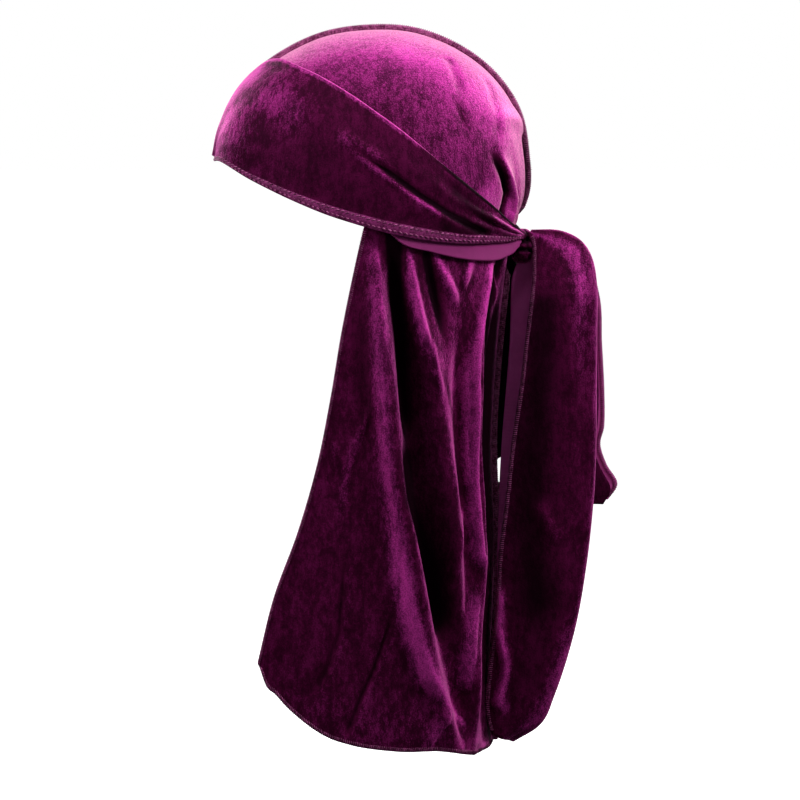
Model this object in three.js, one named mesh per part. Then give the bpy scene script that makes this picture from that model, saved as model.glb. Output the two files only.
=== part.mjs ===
import * as THREE from 'three';
import { mergeVertices } from 'three/addons/utils/BufferGeometryUtils.js';

// A velvet durag in the form that it has when worn: a dome of two panels joined by a raised
// seam, two wide ties folded lengthwise that cross the panels and knot behind, the free ends
// of the ties, and a long cape of two panels that hangs below.
// Millimetres, +Z up, the wearer faces -Y and +X is the wearer's left.
// The origin is the middle of the head hollow, level with the hem over the brow.

// Driving dimensions
const clothWall = 1.2; // velvet with its pile
const layerGap = 0.6; // air between two cloths that lie on each other
const foldRadius = 0.9; // middle of the cloth where a tie is folded over
const crownLength = 201; // brow to the fullest point behind
const crownHeight = 80; // brow to the top of the crown
const crownWidth = 153; // across the hem above the ears
const napeDrop = 54; // brow down to the hem behind the head
const seamHeight = 3; // overlocked ridge along the middle
const seamWidth = 2.4;
const hemDepth = 1; // hem of a tie below the edge of the crown
const reverseDepth = 15; // matte layer of a tie that shows below its hem at the knot
const reverseFlare = 1.2; // how far that layer stands off the cape
const knotSwell = 1.8; // how far a tie stands off the crown as it comes to the knot
const pleatHeight = 3.4; // gathers of a tie before the knot
const gatherDepth = 2.2; // gathers of the crown above the knot
const knotWidth = 26;
const knotDepth = 14;
const knotHeight = 23;
const capeLength = 335; // hem behind the head down to the lowest edge
const capeWidth = 184;
const capeSwing = 68; // how far the front edge of the cape swings forward
const capeFold = 13; // height of its deepest hanging fold
const capeTuck = 0.5; // how far its top lies inside the hem of the crown
const tailWidth = 42; // free end of the left tie, folded
const tailLength = 338;
const tailSpread = 16; // between its two layers
const tailOffset = 14; // from the middle plane to the middle of a hanging tie
const shortTailWidth = 60; // free end of the right tie, folded
const shortTailLength = 181;
const shortTailSpread = 12;

const halfTurn = Math.PI / 180;
const browY = -0.48 * crownLength; // middle of the cloth at the brow
const napeY = browY + 0.95 * crownLength; // middle of the cloth at the nape
const knotFront = napeY + clothWall / 2;
const knotTop = -0.9 * napeDrop;
const velvet = { color: 0x5b1048, roughness: 0.62, metalness: 0 };

// Crown sections from brow to knot: the seam point and the hem point of each
const crownRows = [
  { at: 0, seamY: 0, rise: 0, seamDrop: 0.055, hemX: 0, hemY: 0, hemDrop: 0.06 },
  { at: 1 / 12, seamY: 0.029, rise: 0.237, seamDrop: 0, hemX: 0.39, hemY: 0.04, hemDrop: 0.072 },
  { at: 2 / 12, seamY: 0.092, rise: 0.53, seamDrop: 0, hemX: 0.637, hemY: 0.132, hemDrop: 0.268 },
  { at: 3 / 12, seamY: 0.202, rise: 0.768, seamDrop: 0, hemX: 0.819, hemY: 0.251, hemDrop: 0.482 },
  { at: 4 / 12, seamY: 0.341, rise: 0.938, seamDrop: 0, hemX: 0.936, hemY: 0.375, hemDrop: 0.676 },
  { at: 5 / 12, seamY: 0.49, rise: 1, seamDrop: 0, hemX: 0.994, hemY: 0.5, hemDrop: 0.824 },
  { at: 6 / 12, seamY: 0.639, rise: 0.979, seamDrop: 0, hemX: 0.988, hemY: 0.604, hemDrop: 0.926 },
  { at: 7 / 12, seamY: 0.779, rise: 0.844, seamDrop: 0, hemX: 0.91, hemY: 0.701, hemDrop: 0.991 },
  { at: 8 / 12, seamY: 0.893, rise: 0.625, seamDrop: 0, hemX: 0.78, hemY: 0.784, hemDrop: 1.018 },
  { at: 9 / 12, seamY: 0.97, rise: 0.331, seamDrop: 0, hemX: 0.611, hemY: 0.856, hemDrop: 1.018 },
  { at: 10 / 12, seamY: 0.996, rise: 0, seamDrop: 0.02, hemX: 0.416, hemY: 0.913, hemDrop: 1.01 },
  { at: 11 / 12, seamY: 0.997, rise: 0, seamDrop: 0.445, hemX: 0.221, hemY: 0.95, hemDrop: 1 },
  { at: 1, seamY: 0.95, rise: 0, seamDrop: 0.889, hemX: 0.03, hemY: 0.95, hemDrop: 0.982 },
];
const domeRound = 0.87; // below 1 the sections are fuller than ellipses
const crownStart = 0.006;
const crownEdge = 89; // degrees from the seam down to the lower edge of a panel

// A tie on the dome: its upper fold in degrees from the seam, how far down the layer behind
// reaches between fold and hem, and the cloth of that layer left below the hem
const tieRows = [
  { at: 0, fold: 0, behind: 0.14, under: 0 },
  { at: 0.16, fold: 0, behind: 0.14, under: 0 },
  { at: 0.21, fold: 4, behind: 0.16, under: 0 },
  { at: 0.25, fold: 21, behind: 0.2, under: 0 },
  { at: 0.292, fold: 37.8, behind: 0.3, under: 0 },
  { at: 0.333, fold: 46.6, behind: 0.45, under: 0 },
  { at: 0.417, fold: 58.2, behind: 0.85, under: 0 },
  { at: 0.5, fold: 65.6, behind: 1, under: 0.3 },
  { at: 0.583, fold: 71.2, behind: 1, under: 0.5 },
  { at: 0.667, fold: 74.9, behind: 1, under: 0.66 },
  { at: 0.75, fold: 77.5, behind: 1, under: 0.8 },
  { at: 0.833, fold: 79.5, behind: 1, under: 0.92 },
  { at: 0.94, fold: 82, behind: 1, under: 1 },
];
const tieEnd = 0.94;
const tieTurn = 0.84; // place where a tie leaves the crown for the knot
const entryTop = 0.03; // upper fold of a tie at the knot, below the top of the knot
const entrySlope = 0.14;

// Places across a folded tie: from its front hem up to the fold and down the layer behind
const tieColumns = [
  { down: 1, below: 1, turn: 0 },
  { down: 1, below: 0, turn: 0 },
  { down: 0.85, below: 0, turn: 0 },
  { down: 0.7, below: 0, turn: 0 },
  { down: 0.56, below: 0, turn: 0 },
  { down: 0.42, below: 0, turn: 0 },
  { down: 0.28, below: 0, turn: 0 },
  { down: 0.14, below: 0, turn: 0 },
  { down: 0, below: 0, turn: 0 },
  { down: 0, below: 0, turn: 60 },
  { down: 0, below: 0, turn: 120 },
  { down: 0, below: 0, turn: 180 },
  { down: 0.35, below: 0, turn: 180 },
  { down: 0.7, below: 0, turn: 180 },
  { down: 1, below: 0, turn: 180 },
  { down: 1, below: 1, turn: 180 },
];

// Gathers of a tie that run out from the knot: place between fold and hem, and height
const pleatRows = [
  { start: 0.3, middle: 0.36, end: 0.3, width: 0.1, rise: 1 },
  { start: 0.75, middle: 0.66, end: 0.62, width: 0.09, rise: 0.7 },
];
const pleatStart = 0.4;

// Gathers of the crown above the knot, in degrees from the seam
const gatherRows = [
  { top: 34, end: 62, width: 6, rise: -1 },
  { top: 46, end: 72, width: 5, rise: 0.7 },
  { top: 14, end: 30, width: 7, rise: 0.5 },
];
const gatherStart = 0.66;

// Cape: plan of each level, where round is the exponent of its quarter curve
const capeRows = [
  { at: 0, edgeX: 0.832, swing: 0, seamY: 0.948, round: 1 },
  { at: 0.1, edgeX: 0.85, swing: 0.094, seamY: 0.93, round: 0.95 },
  { at: 0.25, edgeX: 0.885, swing: 0.218, seamY: 0.906, round: 0.88 },
  { at: 0.4, edgeX: 0.92, swing: 0.32, seamY: 0.893, round: 0.86 },
  { at: 0.55, edgeX: 0.945, swing: 0.444, seamY: 0.903, round: 0.85 },
  { at: 0.7, edgeX: 0.97, swing: 0.62, seamY: 0.897, round: 0.85 },
  { at: 0.85, edgeX: 0.99, swing: 0.846, seamY: 0.888, round: 0.85 },
  { at: 1, edgeX: 1, swing: 1, seamY: 0.897, round: 0.85 },
];
const capeFront = 5 / 12; // place on the crown where the front edge of the cape starts

// Lower edge of the cape from its front corner to the seam
const capeHem = [
  { at: 0, drop: 0.797 },
  { at: 0.012, drop: 0.839 },
  { at: 0.03, drop: 0.857 },
  { at: 0.055, drop: 0.882 },
  { at: 0.1, drop: 0.914 },
  { at: 0.153, drop: 0.94 },
  { at: 0.22, drop: 0.957 },
  { at: 0.29, drop: 0.967 },
  { at: 0.38, drop: 0.975 },
  { at: 0.52, drop: 0.98 },
  { at: 0.7, drop: 0.997 },
  { at: 1, drop: 1 },
];

// Hanging folds: place between front edge and seam at five levels, width, height and the
// share of that height at the foot
const capeFolds = [
  { top: 0.04, high: 0.155, middle: 0.26, low: 0.405, foot: 0.6, width: 0.055, rise: 0.9, ends: 0.55 },
  { top: 0.1, high: 0.235, middle: 0.36, low: 0.51, foot: 0.7, width: 0.06, rise: -0.5, ends: 0.3 },
  { top: 0.2, high: 0.36, middle: 0.5, low: 0.6, foot: 0.8, width: 0.065, rise: 0.45, ends: 0.3 },
  { top: 0.5, high: 0.53, middle: 0.59, low: 0.64, foot: 0.62, width: 0.055, rise: -0.35, ends: 0.3 },
  { top: 0.74, high: 0.635, middle: 0.68, low: 0.69, foot: 0.68, width: 0.05, rise: 0.7, ends: 0.7 },
  { top: 0.86, high: 0.8, middle: 0.83, low: 0.83, foot: 0.82, width: 0.05, rise: -0.3, ends: 0.5 },
];
const foldLevels = [
  { at: 0, name: 'top' },
  { at: 0.25, name: 'high' },
  { at: 0.5, name: 'middle' },
  { at: 0.75, name: 'low' },
  { at: 1, name: 'foot' },
];
const foldStart = 0.035; // the folds grow from just below the ties
const foldFull = 0.3;
const frontSpacing = 0.65; // the columns are closer at the front edge
const topBlend = 0.16; // the cape leaves the hem of the crown over this share

// Free end of the left tie: front edge, outer fold and back edge, out from the knot and down
const tailRows = [
  { at: 0, edgeY: 0.01, edgeDrop: 0.005, foldY: 0.06, foldDrop: 0.003, backY: 0, backDrop: 0.045 },
  { at: 0.05, edgeY: 0.01, edgeDrop: 0.03, foldY: 0.42, foldDrop: 0.004, backY: -0.03, backDrop: 0.076 },
  { at: 0.1, edgeY: 0.01, edgeDrop: 0.06, foldY: 0.74, foldDrop: 0.022, backY: -0.15, backDrop: 0.093 },
  { at: 0.15, edgeY: 0.01, edgeDrop: 0.09, foldY: 0.92, foldDrop: 0.055, backY: -0.24, backDrop: 0.118 },
  { at: 0.21, edgeY: -0.02, edgeDrop: 0.13, foldY: 1, foldDrop: 0.11, backY: -0.3, backDrop: 0.15 },
  { at: 0.3, edgeY: -0.1, edgeDrop: 0.21, foldY: 1, foldDrop: 0.2, backY: -0.34, backDrop: 0.22 },
  { at: 0.4, edgeY: -0.19, edgeDrop: 0.31, foldY: 1, foldDrop: 0.31, backY: -0.37, backDrop: 0.31 },
  { at: 0.5, edgeY: -0.3, edgeDrop: 0.405, foldY: 1, foldDrop: 0.41, backY: -0.42, backDrop: 0.41 },
  { at: 0.6, edgeY: -0.39, edgeDrop: 0.51, foldY: 0.965, foldDrop: 0.52, backY: -0.48, backDrop: 0.51 },
  { at: 0.7, edgeY: -0.5, edgeDrop: 0.63, foldY: 0.86, foldDrop: 0.65, backY: -0.53, backDrop: 0.63 },
  { at: 0.8, edgeY: -0.55, edgeDrop: 0.75, foldY: 0.68, foldDrop: 0.78, backY: -0.53, backDrop: 0.75 },
  { at: 0.9, edgeY: -0.67, edgeDrop: 0.87, foldY: 0.36, foldDrop: 0.905, backY: -0.55, backDrop: 0.87 },
  { at: 0.96, edgeY: -0.68, edgeDrop: 0.93, foldY: 0.1, foldDrop: 0.962, backY: -0.52, backDrop: 0.94 },
  { at: 1, edgeY: -0.58, edgeDrop: 0.975, foldY: -0.2, foldDrop: 0.995, backY: -0.4, backDrop: 0.98 },
];

const tailGather = 0.4; // share of its spread and offset that a tie has at the knot
const tailOpened = 0.3; // place where it has the whole
const bendShare = 0.28; // radius of its fold as a share of the spread

// The same for the right tie, whose fold lies inward and whose edges show behind the left one
const shortTailRows = [
  { at: 0, edgeY: 0, edgeDrop: 0.03, foldY: -0.01, foldDrop: 0.09, backY: 0, backDrop: 0.04 },
  { at: 0.1, edgeY: 0.34, edgeDrop: 0.03, foldY: 0, foldDrop: 0.18, backY: 0.3, backDrop: 0.05 },
  { at: 0.2, edgeY: 0.62, edgeDrop: 0.12, foldY: -0.02, foldDrop: 0.27, backY: 0.58, backDrop: 0.14 },
  { at: 0.3, edgeY: 0.75, edgeDrop: 0.25, foldY: -0.05, foldDrop: 0.36, backY: 0.7, backDrop: 0.26 },
  { at: 0.45, edgeY: 0.78, edgeDrop: 0.42, foldY: -0.08, foldDrop: 0.5, backY: 0.72, backDrop: 0.42 },
  { at: 0.6, edgeY: 0.81, edgeDrop: 0.6, foldY: -0.1, foldDrop: 0.65, backY: 0.74, backDrop: 0.59 },
  { at: 0.72, edgeY: 0.81, edgeDrop: 0.73, foldY: -0.1, foldDrop: 0.77, backY: 0.73, backDrop: 0.72 },
  { at: 0.8, edgeY: 0.77, edgeDrop: 0.8, foldY: -0.09, foldDrop: 0.84, backY: 0.69, backDrop: 0.8 },
  { at: 0.86, edgeY: 0.84, edgeDrop: 0.87, foldY: -0.08, foldDrop: 0.9, backY: 0.76, backDrop: 0.87 },
  { at: 0.93, edgeY: 0.96, edgeDrop: 0.94, foldY: -0.06, foldDrop: 0.96, backY: 0.88, backDrop: 0.95 },
  { at: 1, edgeY: 0.86, edgeDrop: 1, foldY: -0.04, foldDrop: 1, backY: 0.8, backDrop: 1.01 },
];

// Reads a column of a table at a place between its rows, along a smooth curve
function read(rows, place, column) {
  const last = rows.length - 1;
  const at = THREE.MathUtils.clamp(place, rows[0].at, rows[last].at);
  let i = 0;
  while (i < last - 1 && at > rows[i + 1].at) i += 1;
  const rate = (k) => (rows[k + 1][column] - rows[k][column]) / (rows[k + 1].at - rows[k].at);
  const slope = (k) => {
    if (k === 0) return rate(0);
    if (k === last) return rate(last - 1);
    return (rate(k - 1) + rate(k)) / 2;
  };
  const step = rows[i + 1].at - rows[i].at;
  const f = (at - rows[i].at) / step;
  const bend = f * f * (3 - 2 * f);
  const leave = f * (1 - f) * (1 - f) * step * slope(i);
  const arrive = f * f * (f - 1) * step * slope(i + 1);
  return rows[i][column] * (1 - bend) + rows[i + 1][column] * bend + leave + arrive;
}

function smooth(from, to, value) {
  return THREE.MathUtils.smoothstep(value, from, to);
}

function bump(distance, width) {
  return Math.exp(-((distance / width) ** 2));
}

function evenly(count, from = 0, to = 1) {
  return Array.from({ length: count + 1 }, (_, i) => from + ((to - from) * i) / count);
}

// Closes a cloth of one thickness round a grid of points on its middle surface
function clothGeometry(grid, wall) {
  const rows = grid.length;
  const columns = grid[0].length;
  const layers = [wall / 2, -wall / 2].map((lift) => grid.map((row, i) => row.map((point, j) => {
    const before = grid[Math.max(i - 1, 0)][j];
    const after = grid[Math.min(i + 1, rows - 1)][j];
    const left = row[Math.max(j - 1, 0)];
    const right = row[Math.min(j + 1, columns - 1)];
    const along = after.clone().sub(before);
    const across = right.clone().sub(left);
    return point.clone().addScaledVector(across.cross(along).normalize(), lift);
  })));
  const corners = layers.flat(2);
  const at = (layer, i, j) => (layer * rows + i) * columns + j;
  const faces = [];
  const quad = (a, b, c, d) => faces.push(a, b, c, a, c, d);
  for (let i = 0; i < rows - 1; i += 1) {
    for (let j = 0; j < columns - 1; j += 1) {
      quad(at(0, i, j), at(0, i, j + 1), at(0, i + 1, j + 1), at(0, i + 1, j));
      quad(at(1, i, j), at(1, i + 1, j), at(1, i + 1, j + 1), at(1, i, j + 1));
    }
    quad(at(0, i, 0), at(0, i + 1, 0), at(1, i + 1, 0), at(1, i, 0));
    quad(at(0, i, columns - 1), at(1, i, columns - 1), at(1, i + 1, columns - 1), at(0, i + 1, columns - 1));
  }
  for (let j = 0; j < columns - 1; j += 1) {
    quad(at(0, 0, j), at(1, 0, j), at(1, 0, j + 1), at(0, 0, j + 1));
    quad(at(0, rows - 1, j), at(0, rows - 1, j + 1), at(1, rows - 1, j + 1), at(1, rows - 1, j));
  }
  return solidGeometry(corners, faces);
}

// Makes a geometry of corners and faces, turned so that its faces point out
function solidGeometry(corners, faces) {
  let volume = 0;
  for (let k = 0; k < faces.length; k += 3) {
    const [a, b, c] = [corners[faces[k]], corners[faces[k + 1]], corners[faces[k + 2]]];
    volume += a.dot(b.clone().cross(c));
  }
  const geometry = new THREE.BufferGeometry();
  geometry.setAttribute('position', new THREE.Float32BufferAttribute(corners.flatMap((c) => c.toArray()), 3));
  geometry.setIndex(volume < 0 ? faces.slice().reverse() : faces);
  const merged = mergeVertices(geometry, 1e-3);
  merged.computeVertexNormals();
  return merged;
}

// Point of the dome: place from brow to knot, degrees from the seam, lift off its middle surface
function domePoint(place, degrees) {
  const hem = new THREE.Vector3(
    (read(crownRows, place, 'hemX') * crownWidth) / 2,
    browY + read(crownRows, place, 'hemY') * crownLength,
    -read(crownRows, place, 'hemDrop') * napeDrop,
  );
  const seam = new THREE.Vector3(
    0,
    browY + read(crownRows, place, 'seamY') * crownLength,
    read(crownRows, place, 'rise') * crownHeight - read(crownRows, place, 'seamDrop') * napeDrop,
  );
  const angle = degrees * halfTurn;
  const up = Math.abs(Math.cos(angle)) ** domeRound * Math.sign(Math.cos(angle));
  const out = Math.abs(Math.sin(angle)) ** domeRound * Math.sign(Math.sin(angle));
  const gather = crownGather(place, degrees);
  const point = new THREE.Vector3(
    hem.x * out,
    hem.y + (seam.y - hem.y) * up,
    hem.z + (seam.z - hem.z) * up,
  );
  const outward = point.clone().sub(new THREE.Vector3(0, 0, hem.z)).normalize();
  return point.addScaledVector(outward, gather);
}

function crownGather(place, degrees) {
  const grown = smooth(gatherStart, 1, place);
  const share = (place - gatherStart) / (1 - gatherStart);
  if (grown === 0) return 0;
  return gatherRows.reduce((sum, row) => {
    const centre = row.top + (row.end - row.top) * share;
    return sum + row.rise * gatherDepth * grown * bump(degrees - centre, row.width);
  }, 0);
}

function domeNormal(place, degrees) {
  const step = 0.012;
  const turn = 2;
  const start = Math.max(place - step, crownStart);
  const along = domePoint(Math.min(place + step, 1), degrees).sub(domePoint(start, degrees));
  const across = domePoint(place, degrees + turn).sub(domePoint(place, degrees - turn));
  return across.cross(along).normalize();
}

function domeDown(place, degrees) {
  return domePoint(place, degrees).sub(domePoint(place, degrees - 2)).normalize();
}

// Crown panel, from the seam down to the edge that the tie covers
function crownGrid() {
  return evenly(22, crownStart, 1).map((place) => evenly(12, 0, crownEdge).map((degrees) => (
    domePoint(place, degrees).add(new THREE.Vector3(layerGap / 2, 0, 0)))));
}

function pleat(place, down) {
  const share = (place - pleatStart) / (tieEnd - pleatStart);
  if (share <= 0) return 0;
  return pleatRows.reduce((sum, row) => {
    const rows = [{ at: 0, down: row.start }, { at: 0.5, down: row.middle }, { at: 1, down: row.end }];
    const height = row.rise * pleatHeight * smooth(0, 1, share);
    return sum + height * bump(down - read(rows, share, 'down'), row.width);
  }, 0);
}

// Folded tie over the dome, from the brow to the side of the knot
function tieGrid() {
  const clear = seamWidth / 2 + layerGap + foldRadius + clothWall / 2;
  const inner = clothWall + layerGap;
  return evenly(24, crownStart, tieEnd).map((place) => tieColumns.map((column) => {
    const fold = Math.max(read(tieRows, place, 'fold'), 0);
    const behind = read(tieRows, place, 'behind');
    const front = column.turn === 0;
    const down = front ? column.down : column.down * behind;
    const degrees = fold + (90 - fold) * down;
    const below = column.below * (front ? hemDepth : read(tieRows, place, 'under') * reverseDepth);
    const folded = column.turn * halfTurn;
    const doubled = 1 - smooth(behind, behind + 0.3, down);
    const layers = foldRadius * (1 + Math.cos(folded)) * (front ? doubled : 1);
    const flare = front ? 0 : reverseFlare * column.below;
    const lift = inner + layers + flare + (front ? pleat(place, column.down) : 0);
    const normal = domeNormal(place, degrees);
    const point = domePoint(place, degrees).addScaledVector(normal, lift);
    point.addScaledVector(domeDown(place, degrees), -foldRadius * Math.sin(folded));
    point.x += clear * (1 - smooth(0.25, 0.6, place));
    point.z -= below;
    const entry = new THREE.Vector3(
      knotWidth / 2 + layerGap,
      napeY + 2 * inner + layers,
      knotTop - (entryTop + entrySlope * down) * knotHeight - below + foldRadius * Math.sin(folded),
    );
    const gone = smooth(tieTurn, tieEnd, place);
    return point.lerp(entry, gone).addScaledVector(normal, 4 * knotSwell * gone * (1 - gone));
  }));
}

function capeNormal(turn) {
  return new THREE.Vector3(Math.cos(turn), Math.sin(turn), 0);
}

function capeRise(share, level) {
  const grown = smooth(foldStart, foldFull, level);
  return capeFolds.reduce((sum, row) => {
    const path = foldLevels.map((step) => ({ at: step.at, share: row[step.name] }));
    const height = row.rise * capeFold * grown * (1 - (1 - row.ends) * smooth(0.6, 1, level));
    return sum + height * bump(share - read(path, level, 'share'), row.width);
  }, 0);
}

// Point of the cape: share from its front edge to the seam behind, level from its top down
function capePoint(share, level) {
  const place = capeFront + (1 - capeFront) * share;
  const top = domePoint(place, crownEdge).addScaledVector(domeDown(place, crownEdge), layerGap);
  top.addScaledVector(domeNormal(place, crownEdge), -capeTuck);
  const turn = share * 90 * halfTurn;
  const plan = (at) => {
    const round = read(capeRows, at, 'round');
    const edgeY = browY + crownLength / 2 - capeSwing * read(capeRows, at, 'swing');
    const seamY = browY + crownLength * read(capeRows, at, 'seamY');
    return new THREE.Vector2(
      (read(capeRows, at, 'edgeX') * capeWidth * Math.cos(turn) ** round) / 2,
      edgeY + (seamY - edgeY) * Math.sin(turn) ** round,
    );
  };
  const leave = 1 - smooth(0, topBlend, level);
  const here = plan(level);
  const above = plan(0);
  const bottom = -napeDrop - read(capeHem, share, 'drop') * capeLength;
  const point = new THREE.Vector3(
    here.x + (top.x - above.x) * leave,
    here.y + (top.y - above.y) * leave,
    top.z + (bottom - top.z) * level,
  );
  return point.addScaledVector(capeNormal(turn), capeRise(share, level));
}

function capeGrid() {
  return evenly(15).map((level) => evenly(25).map((step) => {
    const share = step * (frontSpacing + (1 - frontSpacing) * step);
    const point = capePoint(share, level);
    point.x += layerGap / 2;
    return point;
  }));
}

// Folded free end of a tie, hung from the back of the knot
function tailGrid(rows, count, size) {
  const startY = knotFront + knotDepth + layerGap;
  const corner = (place, name, x) => new THREE.Vector3(
    x,
    startY + read(rows, place, `${name}Y`) * size.width,
    knotTop - read(rows, place, `${name}Drop`) * size.length,
  );
  return evenly(count).map((place) => {
    const open = size.spread * (tailGather + (1 - tailGather) * smooth(0, tailOpened, place));
    const middle = size.middle * (tailGather + (1 - tailGather) * smooth(0, tailOpened, place));
    const edge = corner(place, 'edge', size.side * (middle + open / 2));
    const back = corner(place, 'back', size.side * (middle - open / 2));
    const fold = corner(place, 'fold', size.side * middle);
    const round = open * bendShare;
    const inward = edge.clone().add(back).multiplyScalar(0.5).sub(fold).setX(0).normalize();
    const bend = (degrees) => {
      const turn = degrees * halfTurn;
      const point = fold.clone().addScaledVector(inward, round * (1 - Math.cos(turn)));
      point.x += size.side * round * Math.sin(turn);
      return point;
    };
    return [
      ...evenly(5).map((f) => edge.clone().lerp(bend(90), f)),
      bend(45),
      fold,
      bend(-45),
      ...evenly(4).map((f) => bend(-90).lerp(back, f)),
    ];
  });
}

// Raised ridge of a sewn seam in the middle plane, from a line and its outward directions
function ridgeGeometry(line) {
  const corners = line.flatMap(({ point, out }) => [-1, 1].flatMap((side) => [0, seamHeight].map((rise) => (
    point.clone().addScaledVector(out, rise + clothWall / 2 + layerGap).setX((side * seamWidth) / 2)))));
  const faces = [];
  const quad = (a, b, c, d) => faces.push(a, b, c, a, c, d);
  const last = (line.length - 1) * 4;
  for (let i = 0; i < last; i += 4) {
    quad(i, i + 1, i + 5, i + 4);
    quad(i + 1, i + 3, i + 7, i + 5);
    quad(i + 3, i + 2, i + 6, i + 7);
    quad(i + 2, i, i + 4, i + 6);
  }
  quad(0, 2, 3, 1);
  quad(last, last + 1, last + 3, last + 2);
  return solidGeometry(corners, faces);
}

function crownSeamLine() {
  return evenly(40, crownStart, 0.975).map((place) => ({
    point: domePoint(place, 0),
    out: domeNormal(place, 0),
  }));
}

function capeSeamLine() {
  return evenly(24, 0.075, 0.998).map((level) => ({
    point: capePoint(1, level),
    out: new THREE.Vector3(0, 1, 0),
  }));
}

// Knot: a wrapped lump with grooves where the cloth goes round
function knotGeometry() {
  const around = 16;
  const levels = evenly(10, -90, 90);
  const middle = new THREE.Vector3(
    0,
    knotFront + knotDepth / 2,
    knotTop - knotHeight / 2,
  );
  const corners = levels.flatMap((tilt) => Array.from({ length: around }, (_, k) => {
    const turn = ((k * 360) / around) * halfTurn;
    const rise = Math.sin(tilt * halfTurn);
    const ring = Math.max(Math.cos(tilt * halfTurn), 0) ** 0.7;
    const groove = 1 - 0.1 * bump(Math.sin(turn) - 0.3 - 0.5 * rise, 0.3);
    return middle.clone().add(new THREE.Vector3(
      (Math.sign(Math.cos(turn)) * Math.abs(Math.cos(turn)) ** 0.8 * ring * knotWidth * groove) / 2,
      (Math.sign(Math.sin(turn)) * Math.abs(Math.sin(turn)) ** 0.8 * ring * knotDepth * groove) / 2,
      (rise * knotHeight) / 2,
    ));
  }));
  const faces = [];
  for (let i = 0; i < levels.length - 1; i += 1) {
    for (let k = 0; k < around; k += 1) {
      const next = (k + 1) % around;
      const [a, b] = [i * around + k, i * around + next];
      const [c, d] = [a + around, b + around];
      if (i > 0) faces.push(a, b, d);
      if (i < levels.length - 2) faces.push(a, d, c);
    }
  }
  return solidGeometry(corners, faces);
}

const group = new THREE.Group();

function add(name, geometry, mirrored = false) {
  const mesh = new THREE.Mesh(geometry, new THREE.MeshStandardMaterial(velvet));
  mesh.name = name;
  if (mirrored) mesh.scale.x = -1;
  group.add(mesh);
}

for (const side of ['left', 'right']) {
  const mirrored = side === 'right';
  add(`crown_${side}`, clothGeometry(crownGrid(), clothWall), mirrored);
  add(`tie_${side}`, clothGeometry(tieGrid(), clothWall), mirrored);
  add(`cape_${side}`, clothGeometry(capeGrid(), clothWall), mirrored);
}
add('crown_seam', ridgeGeometry(crownSeamLine()));
add('cape_seam', ridgeGeometry(capeSeamLine()));
add('knot', knotGeometry());
const leftTail = {
  width: tailWidth, length: tailLength, spread: tailSpread, middle: tailOffset, side: 1,
};
const rightTail = {
  width: shortTailWidth, length: shortTailLength, spread: shortTailSpread, middle: tailOffset, side: -1,
};
add('tail_left', clothGeometry(tailGrid(tailRows, 18, leftTail), clothWall));
add('tail_right', clothGeometry(tailGrid(shortTailRows, 12, rightTail), clothWall));

export default group;
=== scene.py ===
import bmesh
import bpy
import math
from functools import lru_cache
from mathutils import Matrix, Vector, noise


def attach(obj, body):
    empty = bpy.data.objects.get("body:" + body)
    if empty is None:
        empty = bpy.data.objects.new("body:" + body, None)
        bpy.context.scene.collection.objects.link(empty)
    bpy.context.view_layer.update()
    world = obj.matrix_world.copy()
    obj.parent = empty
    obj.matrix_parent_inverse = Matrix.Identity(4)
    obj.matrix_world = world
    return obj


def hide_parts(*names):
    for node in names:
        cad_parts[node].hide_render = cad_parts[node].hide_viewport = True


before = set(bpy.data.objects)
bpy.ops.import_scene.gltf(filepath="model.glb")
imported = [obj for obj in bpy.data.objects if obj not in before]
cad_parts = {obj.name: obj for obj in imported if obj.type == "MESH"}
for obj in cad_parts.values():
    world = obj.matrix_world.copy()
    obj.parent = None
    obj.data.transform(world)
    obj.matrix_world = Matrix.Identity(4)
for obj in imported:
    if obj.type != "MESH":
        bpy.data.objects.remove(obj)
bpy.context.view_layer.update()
print("frame loaded,", len(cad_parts), "solids")

# Sizes of the durag in metres, the same as those of its solids
durag = {
    "wall": 0.0012,
    "gap": 0.0006,
    "fold": 0.0009,
    "length": 0.201,
    "height": 0.08,
    "width": 0.153,
    "nape": 0.054,
    "seamWidth": 0.0024,
    "round": 0.87,
    "start": 0.006,
    "middle": (0, 0, -0.03),
    "knotWidth": 0.026,
    "knotHeight": 0.023,
}
browY = -0.48 * durag["length"]
napeY = browY + 0.95 * durag["length"]
knotTop = -0.9 * durag["nape"]

# Sections of the crown from brow to knot
crownRows = {
    "at": [k / 12 for k in range(13)],
    "seamY": [0, 0.029, 0.092, 0.202, 0.341, 0.49, 0.639, 0.779, 0.893, 0.97, 0.996, 0.997, 0.95],
    "rise": [0, 0.237, 0.53, 0.768, 0.938, 1, 0.979, 0.844, 0.625, 0.331, 0, 0, 0],
    "seamDrop": [0.055, 0, 0, 0, 0, 0, 0, 0, 0, 0, 0.02, 0.445, 0.889],
    "hemX": [0, 0.39, 0.637, 0.819, 0.936, 0.994, 0.988, 0.91, 0.78, 0.611, 0.416, 0.221, 0.03],
    "hemY": [0, 0.04, 0.132, 0.251, 0.375, 0.5, 0.604, 0.701, 0.784, 0.856, 0.913, 0.95, 0.95],
    "hemDrop": [0.06, 0.072, 0.268, 0.482, 0.676, 0.824, 0.926, 0.991, 1.018, 1.018, 1.01, 1, 0.982],
}


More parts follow.
